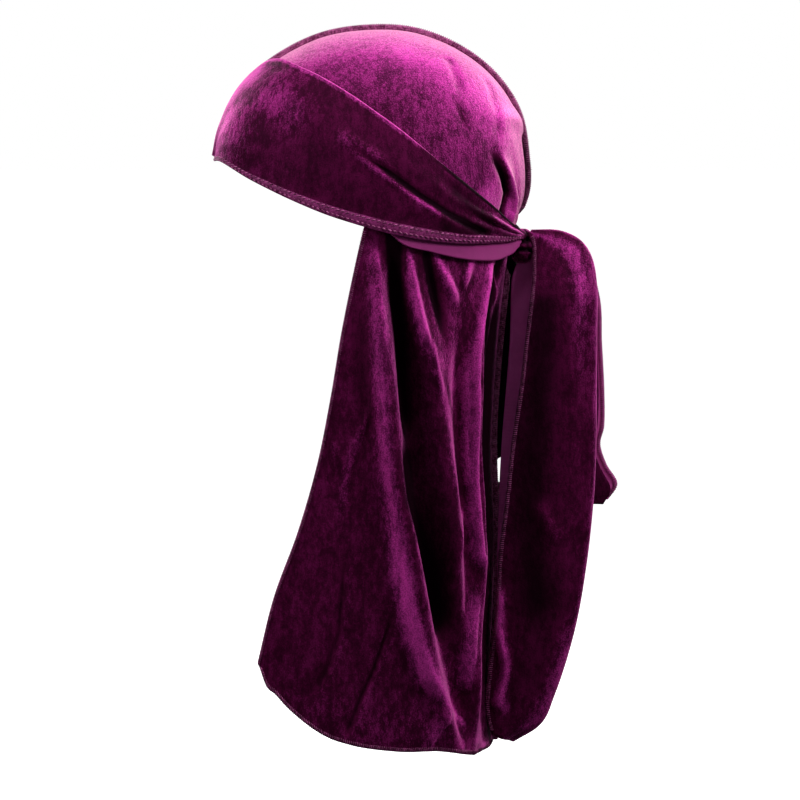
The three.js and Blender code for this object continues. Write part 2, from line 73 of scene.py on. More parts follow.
def read(table, place, column):
    # a column of a table at a place between its rows, along a smooth curve
    at, values = table["at"], table[column]
    last = len(at) - 1
    place = min(max(place, at[0]), at[last])
    i = 0
    while i < last - 1 and place > at[i + 1]:
        i += 1

    def rate(k):
        return (values[k + 1] - values[k]) / (at[k + 1] - at[k])

    def slope(k):
        if k == 0:
            return rate(0)
        if k == last:
            return rate(last - 1)
        return (rate(k - 1) + rate(k)) / 2

    step = at[i + 1] - at[i]
    f = (place - at[i]) / step
    bend = f * f * (3 - 2 * f)
    leave = f * (1 - f) ** 2 * step * slope(i)
    arrive = f * f * (f - 1) * step * slope(i + 1)
    return values[i] * (1 - bend) + values[i + 1] * bend + leave + arrive


def smooth(start, end, value):
    f = min(max((value - start) / (end - start), 0), 1)
    return f * f * (3 - 2 * f)


def squared(value, power):
    # a sine or cosine drawn towards a square by a power below 1
    return math.copysign(abs(value) ** power, value)


def bump(distance, width):
    return math.exp(-((distance / width) ** 2))


def wander(spot, size, seed=0):
    # gentle unevenness between -1 and 1 with features of the given size
    return noise.noise(Vector((spot[0] / size + seed, spot[1] / size - seed, seed * 0.7)))


def crease(path, left, right, rise=0, paintedLight=None, grow=0.25, fade=0.25):
    # path on the cloth, widths to its left and right, and rise, all in millimetres; grow and fade
    # are the shares of its length at either end; paintedLight paints a highlight above 0 and shade
    # below it, and follows the rise where none is given
    return {
        "path": [(along / 1000, down / 1000) for along, down in path],
        "left": left / 1000,
        "right": right / 1000,
        "rise": rise / 1000,
        "paintedLight": 0.11 * rise if paintedLight is None else paintedLight,
        "grow": grow,
        "fade": fade,
    }


def creaseMarks(creases, spot):
    # how far the creases lift the cloth at a spot, and the painted highlight and shade they put there
    lift, paintedLight = 0, 0
    for mark in creases:
        path = mark["path"]
        reach = 3 * max(mark["left"], mark["right"])
        if not (min(p[0] for p in path) - reach < spot[0] < max(p[0] for p in path) + reach):
            continue
        if not (min(p[1] for p in path) - reach < spot[1] < max(p[1] for p in path) + reach):
            continue
        best = None
        for k in range(len(path) - 1):
            (ax, ay), (bx, by) = path[k], path[k + 1]
            dx, dy = bx - ax, by - ay
            f = ((spot[0] - ax) * dx + (spot[1] - ay) * dy) / (dx * dx + dy * dy)
            f = min(max(f, 0), 1)
            gx, gy = spot[0] - ax - f * dx, spot[1] - ay - f * dy
            far = math.hypot(gx, gy)
            if best is None or far < best[0]:
                side = dx * gy - dy * gx
                best = (far, side, (k + f) / (len(path) - 1))
        far, side, share = best
        width = mark["left"] if side > 0 else mark["right"]
        ends = smooth(0, mark["grow"], share) * (1 - smooth(1 - mark["fade"], 1, share))
        lift += mark["rise"] * bump(far, width) * ends
        paintedLight += mark["paintedLight"] * bump(far, width) * ends
    return lift, paintedLight


# The dome that crown and ties follow: place runs from brow to knot, degrees from the seam down
@lru_cache(maxsize=None)
def domeSection(place):
    hem = (
        read(crownRows, place, "hemX") * durag["width"] / 2,
        browY + read(crownRows, place, "hemY") * durag["length"],
        -read(crownRows, place, "hemDrop") * durag["nape"],
    )
    seamY = browY + read(crownRows, place, "seamY") * durag["length"]
    seamZ = read(crownRows, place, "rise") * durag["height"] - read(crownRows, place, "seamDrop") * durag["nape"]
    return hem, seamY, seamZ


# broad gathers that run into the knot, each from its top to its end in degrees below the seam
gathers = {
    "from": 0.66,
    "height": 0.0022,
    "rows": [
        {"top": 34, "end": 62, "width": 6, "rise": -1},
        {"top": 46, "end": 72, "width": 5, "rise": 0.7},
        {"top": 14, "end": 30, "width": 7, "rise": 0.5},
    ],
}


def crownGather(place, degrees):
    grown = smooth(gathers["from"], 1, place)
    if grown == 0:
        return 0
    share = (place - gathers["from"]) / (1 - gathers["from"])
    return sum(
        row["rise"] * gathers["height"] * grown
        * bump(degrees - row["top"] - (row["end"] - row["top"]) * share, row["width"])
        for row in gathers["rows"]
    )


@lru_cache(maxsize=None)
def domePoint(place, degrees):
    hem, seamY, seamZ = domeSection(place)
    angle = math.radians(degrees)
    up = squared(math.cos(angle), durag["round"])
    out = squared(math.sin(angle), durag["round"])
    point = Vector((hem[0] * out, hem[1] + (seamY - hem[1]) * up, hem[2] + (seamZ - hem[2]) * up))
    gather = crownGather(place, degrees)
    if gather:
        point += (point - Vector((0, 0, hem[2]))).normalized() * gather
    return point


@lru_cache(maxsize=None)
def domeNormal(place, degrees):
    along = domePoint(min(place + 0.012, 1), degrees) - domePoint(max(place - 0.012, durag["start"]), degrees)
    across = domePoint(place, degrees + 2) - domePoint(place, degrees - 2)
    return across.cross(along).normalized()


def domeDown(place, degrees):
    return (domePoint(place, degrees) - domePoint(place, degrees - 2)).normalized()


# Finishes
class Value:
    # one output socket, so that node maths is written as plain maths
    def __init__(self, finish, socket):
        self.finish = finish
        self.socket = socket

    def maths(self, operation, *others):
        return self.finish.node("ShaderNodeMath", {"operation": operation}, dict(enumerate(others)))

    def __add__(self, other):
        return self.maths("ADD", self, other)

    def __radd__(self, other):
        return self.maths("ADD", other, self)

    def __sub__(self, other):
        return self.maths("SUBTRACT", self, other)

    def __rsub__(self, other):
        return self.maths("SUBTRACT", other, self)

    def __mul__(self, other):
        return self.maths("MULTIPLY", self, other)

    def __rmul__(self, other):
        return self.maths("MULTIPLY", other, self)

    def __pow__(self, other):
        return self.maths("POWER", self, other)

    def __rpow__(self, other):
        return self.maths("POWER", other, self)


class Finish:
    # a material with its nodes; constants are set straight on the shader
    def __init__(self, name, constants):
        self.material = bpy.data.materials.new(name)
        self.material.use_nodes = True
        self.tree = self.material.node_tree
        self.shader = next(n for n in self.tree.nodes if n.type == "BSDF_PRINCIPLED")
        for socket, value in constants.items():
            self.shader.inputs[socket].default_value = value

    def node(self, kind, settings, inputs, output=0):
        made = self.tree.nodes.new(kind)
        for name, value in settings.items():
            setattr(made, name, value)
        for name, value in inputs.items():
            self.feed(made.inputs[name], value)
        return Value(self, made.outputs[output])

    def feed(self, socket, value):
        if isinstance(value, Value):
            self.tree.links.new(value.socket, socket)
        else:
            socket.default_value = value

    def give(self, shader=None, **sockets):
        for name, value in sockets.items():
            self.feed((shader or self.shader).inputs[name.replace("_", " ")], value)

    def another(self, constants):
        return self.node("ShaderNodeBsdfPrincipled", {}, constants).socket.node

    def blend(self, second, share):
        first, second = Value(self, self.shader.outputs[0]), Value(self, second.outputs[0])
        both = self.node("ShaderNodeMixShader", {}, {0: share, 1: first, 2: second})
        end = next(n for n in self.tree.nodes if n.type == "OUTPUT_MATERIAL")
        self.feed(end.inputs["Surface"], both)

    def spot(self):
        return self.node("ShaderNodeTexCoord", {}, {}, "Object")

    def paintedLightMarks(self):
        # painted highlight above 0 and painted shade below 0, kept on the mesh
        return self.node("ShaderNodeAttribute", {"attribute_name": "paintedLight"}, {}, "Fac")

    def shade(self, marks):
        # painted shade: 1 where the painted light marks are darkest
        return self.levels(marks, -0.6, 0, 1, 0)

    def clothSpot(self):
        return self.node("ShaderNodeUVMap", {"uv_map": "cloth"}, {})

    def stretched(self, vector, scale):
        return self.node("ShaderNodeMapping", {}, {"Vector": vector, "Scale": scale})

    def mottle(self, vector, scale, detail=3.0, rough=0.6):
        inputs = {"Vector": vector, "Scale": scale, "Detail": detail, "Roughness": rough}
        return self.node("ShaderNodeTexNoise", {}, inputs)

    def levels(self, value, low, high, start=0.0, end=1.0):
        settings = {"clamp": True, "interpolation_type": "SMOOTHSTEP"}
        inputs = {"Value": value, "From Min": low, "From Max": high, "To Min": start, "To Max": end}
        return self.node("ShaderNodeMapRange", settings, inputs)

    def mix(self, first, second, share):
        # a Mix node keeps its colours in sockets 6 and 7 and gives them at output 2
        return self.node("ShaderNodeMix", {"data_type": "RGBA"}, {0: share, 6: first, 7: second}, 2)

    def relief(self, height, depth, strength):
        return self.node("ShaderNodeBump", {}, {"Height": height, "Distance": depth, "Strength": strength})


velvetLook = {
    # painted shade for the darkest marks, then the pile seen end on, in a valley and on a rise of the nap
    "paintedShade": (0.0040, 0.0002, 0.0018, 1),
    "deep": (0.024, 0.0006, 0.0100, 1),
    "raised": (0.068, 0.0022, 0.0300, 1),
    # the sheen of the pile seen from its side, which the painted highlights also bring out, and a paler painted
    # highlight for the brightly lit crown
    "gloss": (0.60, 0.042, 0.365, 1),
    "sheenAndPaintedLight": (0.70, 0.105, 0.435, 1),
    "paleHighlight": (0.78, 0.275, 0.50, 1),
    "always": 0.02,
    "grazing": 1.5,
    "crushed": 0.28,
    "sparkle": (0.62, 1.16),
    "pile": 0.0006,
    "fineGrain": 1150,
    "crushGrain": 300,
    "broadGrain": 85,
    "streak": (1, 1, 0.55),
}
# the crown's copy: paler painted highlights, standing in for the strong light on its top, and less crushed speckle
paleHighlightLook = {**velvetLook, "sheenAndPaintedLight": velvetLook["paleHighlight"], "crushed": 0.22}


def velvetFinish(name, look):
    # the pile is dark seen end on and pink where it is seen from the side; painted highlights make it pink and
    # painted shade near black along the marked creases
    finish = Finish(name, {"Specular IOR Level": 0.05, "Specular Tint": (1.0, 0.25, 0.7, 1)})
    sheenAndPaintedLight = finish.another({
        "Metallic": 0.3,
        "Specular IOR Level": 0.05,
        "Specular Tint": (1.0, 0.40, 0.75, 1),
        "Sheen Weight": 0.15,
        "Sheen Roughness": 0.35,
        "Sheen Tint": (1.0, 0.35, 0.70, 1),
    })
    spot = finish.spot()
    streaked = finish.stretched(spot, look["streak"])
    fine = finish.mottle(spot, look["fineGrain"], 2, 0.6)
    crushed = finish.mottle(streaked, look["crushGrain"], 4, 0.72)
    broad = finish.mottle(streaked, look["broadGrain"], 3, 0.55)
    nap = finish.levels(fine * 0.25 + crushed * 0.45 + broad * 0.3, 0.40, 0.60)
    pile = finish.relief(fine * 0.5 + crushed, look["pile"], 0.9)
    # painted highlight above 0 and painted shade below 0, marked on the mesh; where darkest the base colour turns
    # to painted shade
    marks = finish.paintedLightMarks()
    shade = finish.shade(marks)
    finish.give(
        Base_Color=finish.mix(finish.mix(look["deep"], look["raised"], nap), look["paintedShade"], shade),
        Roughness=finish.levels(broad, 0.3, 0.7, 0.55, 0.7),
        Normal=pile,
    )
    facing = finish.node("ShaderNodeLayerWeight", {}, {"Blend": 0.5, "Normal": pile}, "Facing")
    # share of the pink sheen: by facing, plus the painted highlight and shade, plus the nap; painted highlights
    # also make it paler
    sheenShare = facing ** look["grazing"] + marks + (nap - 0.5) * look["crushed"]
    paled = finish.levels(facing + marks * 0.2, 0.38, 0.92)
    finish.give(
        sheenAndPaintedLight,
        Base_Color=finish.mix(look["gloss"], look["sheenAndPaintedLight"], paled),
        Roughness=finish.levels(crushed, 0.3, 0.7, 0.40, 0.55),
        Normal=pile,
    )
    sparkle = finish.levels(fine, 0.36, 0.64, *look["sparkle"])
    finish.blend(sheenAndPaintedLight, finish.levels(sheenShare, look["always"], 1.0) * sparkle)
    return finish.material


reverseLook = {
    "dark": (0.135, 0.0115, 0.075, 1),
    "light": (0.300, 0.036, 0.180, 1),
    "ribs": 330,
    "clouds": 120,
}
# a copy of the reverse painted paler for the free ends, as painted light where their inner faces lie in shade
paintedLitReverseLook = {
    **reverseLook,
    "dark": (0.42, 0.044, 0.25, 1),
    "light": (0.72, 0.13, 0.48, 1),
}


def reverseFinish(name, look):
    # a matte knit with fine ribs
    finish = Finish(name, {"Specular IOR Level": 0.15, "Specular Tint": (1, 0.4, 0.75, 1)})
    knit = {"Vector": finish.clothSpot(), "Scale": look["ribs"], "Distortion": 1.2, "Detail": 2, "Detail Scale": 3}
    ribs = finish.node("ShaderNodeTexWave", {"wave_type": "BANDS", "bands_direction": "X"}, knit, 1)
    cloudy = finish.mottle(finish.spot(), look["clouds"], 3)
    finish.give(
        Base_Color=finish.mix(look["dark"], look["light"], ribs * 0.45 + cloudy * 0.55),
        Roughness=finish.levels(cloudy, 0.3, 0.7, 0.62, 0.78),
        Normal=finish.relief(ribs, 0.0002, 0.5),
    )
    return finish.material


threadLook = {
    "paintedShade": (0.0080, 0.0006, 0.0040, 1),
    "dark": (0.090, 0.009, 0.045, 1),
    "light": (0.420, 0.105, 0.270, 1),
    "fluff": 900,
    "wear": 160,
}
# the edges of cape and free ends; and the cape's seam, its thread painted lighter as painted light where it lies
# in shade between the folds
edgingLook = {
    **threadLook,
    "dark": (0.036, 0.0030, 0.018, 1),
    "light": (0.320, 0.065, 0.195, 1),
}
paintedLitSeamLook = {
    **threadLook,
    "dark": (0.200, 0.020, 0.100, 1),
    "light": (0.700, 0.200, 0.460, 1),
}


def threadFinish(name, look):
    finish = Finish(name, {"Specular IOR Level": 0.25, "Specular Tint": (1, 0.5, 0.8, 1)})
    spot = finish.spot()
    fluff = finish.mottle(spot, look["fluff"], 2)
    worn = finish.mottle(spot, look["wear"], 3)
    share = finish.levels(fluff * 0.6 + worn * 0.4, 0.38, 0.62)
    # painted shade where the painted light marks are darkest, as on the crown's ridge at the back
    shade = finish.shade(finish.paintedLightMarks())
    finish.give(
        Base_Color=finish.mix(finish.mix(look["dark"], look["light"], share), look["paintedShade"], shade),
        Roughness=finish.levels(fluff, 0.3, 0.7, 0.45, 0.65),
        Normal=finish.relief(fluff, 0.0002, 0.6),
    )
    return finish.material


hemLook = {
    "dark": (0.040, 0.0020, 0.018, 1),
    "light": (0.240, 0.025, 0.140, 1),
    "fineGrain": 700,
    "broadGrain": 110,
}


def hemFinish():
    # the turned and stitched edge, with its pile pressed flat
    finish = Finish("hem", {"Specular IOR Level": 0.25, "Specular Tint": (1, 0.4, 0.8, 1)})
    spot = finish.spot()
    fine = finish.mottle(spot, hemLook["fineGrain"], 3, 0.7)
    broad = finish.mottle(spot, hemLook["broadGrain"], 3)
    share = finish.levels(fine * 0.5 + broad * 0.5, 0.35, 0.65)
    finish.give(
        Base_Color=finish.mix(hemLook["dark"], hemLook["light"], share),
        Roughness=finish.levels(fine, 0.3, 0.7, 0.45, 0.6),
        Normal=finish.relief(fine, 0.0005, 0.7),
    )
    return finish.material


velvet = velvetFinish("velvet", velvetLook)
paleHighlightVelvet = velvetFinish("velvet_pale_highlight", paleHighlightLook)
reverse = reverseFinish("reverse", reverseLook)
paintedLitReverse = reverseFinish("reverse_painted_lit", paintedLitReverseLook)
overlock = threadFinish("overlock", threadLook)
edging = threadFinish("edging", edgingLook)
paintedLitSeaming = threadFinish("paintedLitSeaming", paintedLitSeamLook)
hem = hemFinish()
print("finishes made")


# Making cloth and yarn
def clothSheet(name, steps, shape, size, facing, mirrored=False, hemRows=0, pile=None, lining=None):
    # a grid of cloth moved into place by its shape function, then given its two faces;
    # facing says which way is out at a point, and the first hemRows rows are the pressed hem
    built = bmesh.new()
    bmesh.ops.create_grid(built, x_segments=steps[0], y_segments=steps[1], size=0.5)
    layer = built.loops.layers.uv.new("cloth")
    for face in built.faces:
        face.smooth = True
        centre = face.calc_center_median()
        face.material_index = 2 if (centre.y + 0.5) * steps[1] < hemRows else 0
        for loop in face.loops:
            loop[layer].uv = ((loop.vert.co.x + 0.5) * size[0], (loop.vert.co.y + 0.5) * size[1])
    # the painted highlight and shade that the shape gives each point
    sheenAndPaintedLight = built.verts.layers.float.new("paintedLight")
    for vert in built.verts:
        vert.co, vert[sheenAndPaintedLight] = shape(vert.co.x + 0.5, vert.co.y + 0.5)
    built.normal_update()
    built.faces.ensure_lookup_table()
    sample = built.faces[len(built.faces) // 2 + steps[0] // 2]
    turned = facing(sample.calc_center_median()).dot(sample.normal) < 0
    if mirrored:
        bmesh.ops.transform(built, matrix=Matrix.Scale(-1, 4, (1, 0, 0)), verts=built.verts)
    if turned != mirrored:
        bmesh.ops.reverse_faces(built, faces=built.faces)
    piece = finished(name, built, [pile or velvet, lining or reverse, hem])
    wall = piece.modifiers.new("wall", "SOLIDIFY")
    wall.thickness = durag["wall"]
    wall.offset = 0
    wall.use_quality_normals = True
    wall.material_offset = 1
    wall.material_offset_rim = 0
    return piece


def finished(name, built, materials):
    mesh = bpy.data.meshes.new(name)
    built.to_mesh(mesh)
    built.free()
    piece = bpy.data.objects.new(name, mesh)
    bpy.context.scene.collection.objects.link(piece)
    for material in materials:
        mesh.materials.append(material)
    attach(piece, "root")
    return piece


def thread(name, points, thick, yarn=None):
    # a fine yarn along a list of points
    curve = bpy.data.curves.new(name, "CURVE")
    curve.dimensions = "3D"
    curve.bevel_depth = thick / 2
    curve.bevel_resolution = 0
    spline = curve.splines.new("POLY")
    spline.points.add(len(points) - 1)
    for made, point in zip(spline.points, points):
        made.co = (*point, 1)
    piece = bpy.data.objects.new(name, curve)
    bpy.context.scene.collection.objects.link(piece)
    curve.materials.append(yarn or overlock)
    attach(piece, "root")
    return piece


winding = {
    "perTurn": 8,
    "uneven": 0.12,
    "unevenEvery": 0.004,
    "proud": 0.0003,
}


def wrapped(line, pitch, width, height):
    # points of a yarn that winds over an edge; the line gives point, inward and normal
    perTurn = winding["perTurn"]
    lengths = [0]
    for before, after in zip(line, line[1:]):
        lengths.append(lengths[-1] + (after[0] - before[0]).length)
    turns = round(lengths[-1] / pitch)
    points = []
    k = 0
    for step in range(turns * perTurn + 1):
        at = lengths[-1] * step / (turns * perTurn)
        while k < len(line) - 2 and at > lengths[k + 1]:
            k += 1
        f = (at - lengths[k]) / max(lengths[k + 1] - lengths[k], 1e-9)
        point, inward, normal = (line[k][i].lerp(line[k + 1][i], f) for i in range(3))
        turn = 2 * math.pi * step / perTurn
        uneven = 1 + winding["uneven"] * wander((at, 0.1), winding["unevenEvery"])
        across = width / 2 * (1 - math.cos(turn)) - winding["proud"]
        points.append(point + inward * across * uneven + normal * height / 2 * math.sin(turn))
    return points


# Crown
crown = {
    "steps": (150, 84),
    "edge": 89,
    "cut": (0.34, 0.14),
    "along": 0.33,
    "perDegree": 0.0014,
    "uneven": 0.0005,
    # a painted highlight over the whole crown, with its pile lying differently from the ties'
    "paintedLight": 0.17,
}
# on a panel: along the seam from the brow, and down from the seam
# along them: painted shade in the creases at the back and by the knot, and painted highlights on the crown's upper
# side
crownCreases = [
    crease([(229, 78), (239, 80), (254, 84), (266.5, 90), (269, 101), (268, 111)],
           rise=-4.6, paintedLight=-1.6, left=4.2, right=4.5, grow=0.5, fade=0.02),
    crease([(236, 75), (250, 77.5), (266, 81), (280.6, 86.2), (286.8, 98), (285, 112.6)],
           rise=3, paintedLight=0.3, left=3.5, right=4, grow=0.4, fade=0.05),
    crease([(210, 69.5), (234.7, 49), (249, 25.5), (256, 2.6)],
           rise=2.2, left=6, right=8, grow=0.6, fade=0.001),
    crease([(260.5, 3), (266, 6), (276, 8), (288, 10), (306, 12)],
           rise=-4.6, paintedLight=-1, left=6, right=7, grow=0.45, fade=0.2),
    crease([(185.5, 31.4), (190, 34.8), (196.8, 47.7), (202, 60)], rise=-1.2, left=4, right=3),
    crease([(197, 62.7), (204, 71), (209.2, 77.5)], rise=-1, left=3, right=3),
    crease([(210, 20), (222, 35), (232, 55), (240, 70)], rise=-0.8, left=4, right=4),
    crease([(226, 30), (245, 45), (262, 58), (272, 85), (276, 110)],
           paintedLight=0.45, left=16, right=20, grow=0.3, fade=0.1),
    crease([(232, 98), (245, 105), (256, 115)], paintedLight=0.35, left=10, right=10, grow=0.3, fade=0.1),
    crease([(60, 12), (120, 22), (180, 20), (240, 20)],
           paintedLight=0.14, left=22, right=20, grow=0.2, fade=0.1),
    crease([(140, 36), (180, 43), (215, 50), (235, 60)],
           paintedLight=0.22, left=14, right=14, grow=0.3, fade=0.3),
]


def crownShape(u, v):
    place = durag["start"] + (1 - durag["start"]) * u
    degrees = crown["edge"] * v
    spot = (place * crown["along"], degrees * crown["perDegree"])
    calm = smooth(0, 0.1, v) * (1 - smooth(0.9, 1, v))
    lift, paintedLight = creaseMarks(crownCreases, spot)
    lift += crown["uneven"] * wander(spot, 0.022) * calm
    point = domePoint(place, degrees) + domeNormal(place, degrees) * lift
    point.x += durag["gap"] / 2
    return point, paintedLight + crown["paintedLight"]


def awayFromMiddle(point):
    return point - Vector(durag["middle"])


for side in ("left", "right"):
    panel = clothSheet(
        "crown_panel_" + side, crown["steps"], crownShape, crown["cut"],
        awayFromMiddle, side == "right", pile=paleHighlightVelvet,
    )
    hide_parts("crown_" + side)
print("crown made")


# Ties
tie = {
    "steps": (170, 96),
    "cut": (0.3, 0.17),
    "along": 0.3,
    "perDegree": 0.0013,
    "end": 0.94,
    "turn": 0.84,
    "hem": 0.001,
    "reverse": 0.015,
    "flare": 0.0012,
    "swell": 0.0018,
    "pleat": 0.0034,
    "pleatFrom": 0.4,
    "entryTop": 0.03,
    "entrySlope": 0.14,
    "tuck": (-0.0065, 0.0055, 0.4),
    "front": 46,
    "bend": 8,
    "hemRows": 5,
    "hemWidth": 0.0024,
    "roll": 0.0009,
    "deepest": 0.0010,
    "uneven": 0.0004,
    "aboveHem": 0.72,
    # a little painted shade over the whole tie, with its pile lying differently from the crown's; a painted
    # highlight along the fold's edge
    "paintedLight": -0.10,
    "paintedEdgeHighlight": 0.7,
}
tieRows = {
    "at": [0, 0.16, 0.21, 0.25, 0.292, 0.333, 0.417, 0.5, 0.583, 0.667, 0.75, 0.833, 0.94],
    "fold": [0, 0, 3, 17, 34, 43.8, 56.5, 64.7, 70.7, 74.7, 77.5, 79.5, 82],
    "behind": [0.14, 0.14, 0.16, 0.2, 0.3, 0.45, 0.85, 1, 1, 1, 1, 1, 1],
    "under": [0, 0, 0, 0, 0, 0, 0, 0.3, 0.52, 0.7, 0.82, 0.8, 0.3],
}
pleatRows = [
    {"at": [0, 0.5, 1], "down": [0.3, 0.36, 0.3], "width": 0.1, "rise": 1},
    {"at": [0, 0.5, 1], "down": [0.75, 0.66, 0.62], "width": 0.09, "rise": 0.7},
]


def tiePleat(place, down):
    share = (place - tie["pleatFrom"]) / (tie["end"] - tie["pleatFrom"])
    if share <= 0:
        return 0
    return sum(
        row["rise"] * tie["pleat"] * smooth(0, 1, share) * bump(down - read(row, share, "down"), row["width"])
        for row in pleatRows
    )


def tieAcross(v, hemShare):
    # place across the cloth: how far down, how far below the hem, turn of the fold, in front or not
    k = v * tie["steps"][1]
    front, bend, turned = tie["front"], tie["bend"], tie["hemRows"]
    if k < 1:
        return 1, 1 - k, 0, True
    if k < 1 + turned:
        return 1 - hemShare * (k - 1) / turned, 0, 0, True
    if k <= front:
        return (1 - hemShare) * (front - k) / (front - 1 - turned), 0, 0, True
    if k < front + bend:
        return 0, 0, 180 * (k - front) / bend, False
    f = (k - front - bend) / (tie["steps"][1] - front - bend)
    above = tie["aboveHem"]
    return min(f / above, 1), max((f - above) / (1 - above), 0), 180, False


@lru_cache(maxsize=None)
def tiePlace(place):
    return max(read(tieRows, place, "fold"), 0), read(tieRows, place, "behind"), read(tieRows, place, "under")


def tieShape(u, v):
    place = durag["start"] + (tie["end"] - durag["start"]) * u
    fold, behind, under = tiePlace(place)
    hemShare = tie["hemWidth"] / ((90 - fold) * tie["perDegree"])
    down, below, turn, front = tieAcross(v, hemShare)
    inner = durag["wall"] + durag["gap"]
    if not front:
        down *= behind
    degrees = round(fold + (90 - fold) * down, 3)
    drop = below * (tie["hem"] if front else under * tie["reverse"])
    folded = math.radians(turn)
    doubled = 1 - smooth(behind, behind + 0.3, down)
    layers = durag["fold"] * (1 + math.cos(folded)) * (doubled if front else 1)
    lift = inner + layers + (0 if front else tie["flare"] * below)
    spot = (place * tie["along"], degrees * tie["perDegree"])
    paintedLight = tie["paintedLight"]
    # a painted highlight along the fold's edge, giving way to painted shade towards the knot
    late = smooth(0.48, 0.64, place)
    if turn or down < 0.03:
        paintedLight += bump(turn - 60, 70) * smooth(0.16, 0.24, place) * (tie["paintedEdgeHighlight"] * (1 - late) - 0.9 * late)
    if front:
        nearHem = (1 - down) / hemShare
        rolled = bump(nearHem - 0.4, 0.55)
        # the creases' lift, and their painted highlight and shade, kept off the rolled hem
        pressed, sheenAndPaintedLight = creaseMarks(tieCreases, spot)
        calm = smooth(0, 0.1, down) * (1 - rolled)
        lift += tiePleat(place, down) + tie["roll"] * rolled
        lift += max(pressed, -tie["deepest"]) * calm + tie["uneven"] * wander(spot, 0.018, 3) * calm
        paintedLight += sheenAndPaintedLight * (1 - rolled)
    normal = domeNormal(place, degrees)
    point = domePoint(place, degrees) + normal * lift
    point -= domeDown(place, degrees) * durag["fold"] * math.sin(folded)
    clear = durag["seamWidth"] / 2 + durag["gap"] + durag["fold"] + durag["wall"] / 2
    point.x += clear * (1 - smooth(0.25, 0.6, place))
    point.z -= drop
    entry = Vector((
        durag["knotWidth"] / 2 + durag["gap"],
        napeY + 2 * inner + layers,
        knotTop - (tie["entryTop"] + tie["entrySlope"] * down) * durag["knotHeight"] - drop
        + durag["fold"] * math.sin(folded),
    ))
    gone = smooth(tie["turn"], tie["end"], place)
    point = point.lerp(entry, gone) + normal * 4 * tie["swell"] * gone * (1 - gone)
    # the end goes on into the knot, drawn together towards its middle
    tucked = smooth(tie["end"] - 0.05, tie["end"], place)
    middle = knotTop - 0.45 * durag["knotHeight"]
    inward, back, drawn = tie["tuck"]
    point += Vector((inward, back, drawn * (middle - point.z))) * tucked
    # painted shade where the end goes into the knot
    return point, paintedLight - 0.5 * tucked


# on a tie: along it from the brow, and down from the seam
# with painted highlights on the brow and along the fold, and painted shade in the creases near the knot
tieCreases = [
    crease([(66, 12), (74, 28), (80, 39), (87.5, 49)],
           rise=-1.8, paintedLight=-0.22, left=6, right=4, grow=0.3, fade=0.5),
    crease([(30, 24), (44.7, 16), (54.5, 19.4), (63.8, 23.6), (70, 25.9)],
           paintedLight=0.42, left=12, right=12, grow=0.2, fade=0.25),
    crease([(106, 85.7), (117, 90), (130, 94), (145, 98.6)], rise=1.4, paintedLight=0.25, left=4, right=3),
    crease([(114.2, 89.5), (130, 96.2), (148.4, 101.2), (161.1, 104.4), (185.4, 108.8), (226, 113.5)],
           rise=-3, paintedLight=-0.9, left=1.5, right=1, grow=0.4, fade=0.05),
    crease([(114.2, 92.5), (130, 98.8), (148.4, 103.6), (161.1, 106.7), (185.4, 110.8), (226, 115)],
           rise=1, paintedLight=0.36, left=1.1, right=1.6, grow=0.2, fade=0.3),
    crease([(175.2, 97.6), (201.3, 103.6), (239.4, 111)],
           rise=-1.5, paintedLight=-0.28, left=2.4, right=2.4, fade=0.05),
    crease([(148.8, 107), (178.3, 111), (218, 115.5)], rise=1.2, paintedLight=0.1, left=3, right=3, fade=0.05),
    crease([(170, 112), (200, 114.5), (230, 116)], paintedLight=-0.4, left=5, right=4, fade=0.02),
    crease([(36, 40), (37, 60), (38, 80), (37, 100)], paintedLight=0.18, left=10, right=14, grow=0.2, fade=0.2),
    crease([(62, 50), (72, 62), (86, 78), (96, 88)], paintedLight=0.24, left=13, right=13, grow=0.2, fade=0.4),
]

for side in ("left", "right"):
    band = clothSheet(
        "tie_band_" + side, tie["steps"], tieShape, tie["cut"],
        awayFromMiddle, side == "right", tie["hemRows"] + 1,
    )
    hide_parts("tie_" + side)
print("ties made")


# Cape
cape = {
    "steps": (210, 120),
    "cut": (0.18, 0.33),
    "cloth": (0.17, 0.33),
    "uneven": 0.0009,
    "length": 0.335,
    "width": 0.184,
    "swing": 0.068,
    "fold": 0.013,
    "tuck": 0.0005,
    "front": 5 / 12,
    "foldStart": 0.035,
    "foldFull": 0.3,
    "spacing": 0.75,
    "blend": 0.16,
    "paintedLight": 0.0,
}
capeRows = {
    "at": [0, 0.1, 0.25, 0.4, 0.55, 0.7, 0.85, 1],
    "edgeX": [0.832, 0.85, 0.885, 0.92, 0.945, 0.97, 0.99, 1],
    "swing": [0, 0.094, 0.218, 0.32, 0.444, 0.62, 0.846, 1],
    "seamY": [0.948, 0.93, 0.906, 0.893, 0.903, 0.897, 0.888, 0.897],
    "round": [1, 0.95, 0.88, 0.86, 0.85, 0.85, 0.85, 0.85],
}
capeHem = {
    "at": [0, 0.012, 0.03, 0.055, 0.1, 0.153, 0.22, 0.29, 0.38, 0.52, 0.7, 1],
    "drop": [0.797, 0.839, 0.857, 0.882, 0.914, 0.94, 0.957, 0.967, 0.975, 0.98, 0.997, 1],
}
foldLevels = [0, 0.25, 0.5, 0.75, 1]
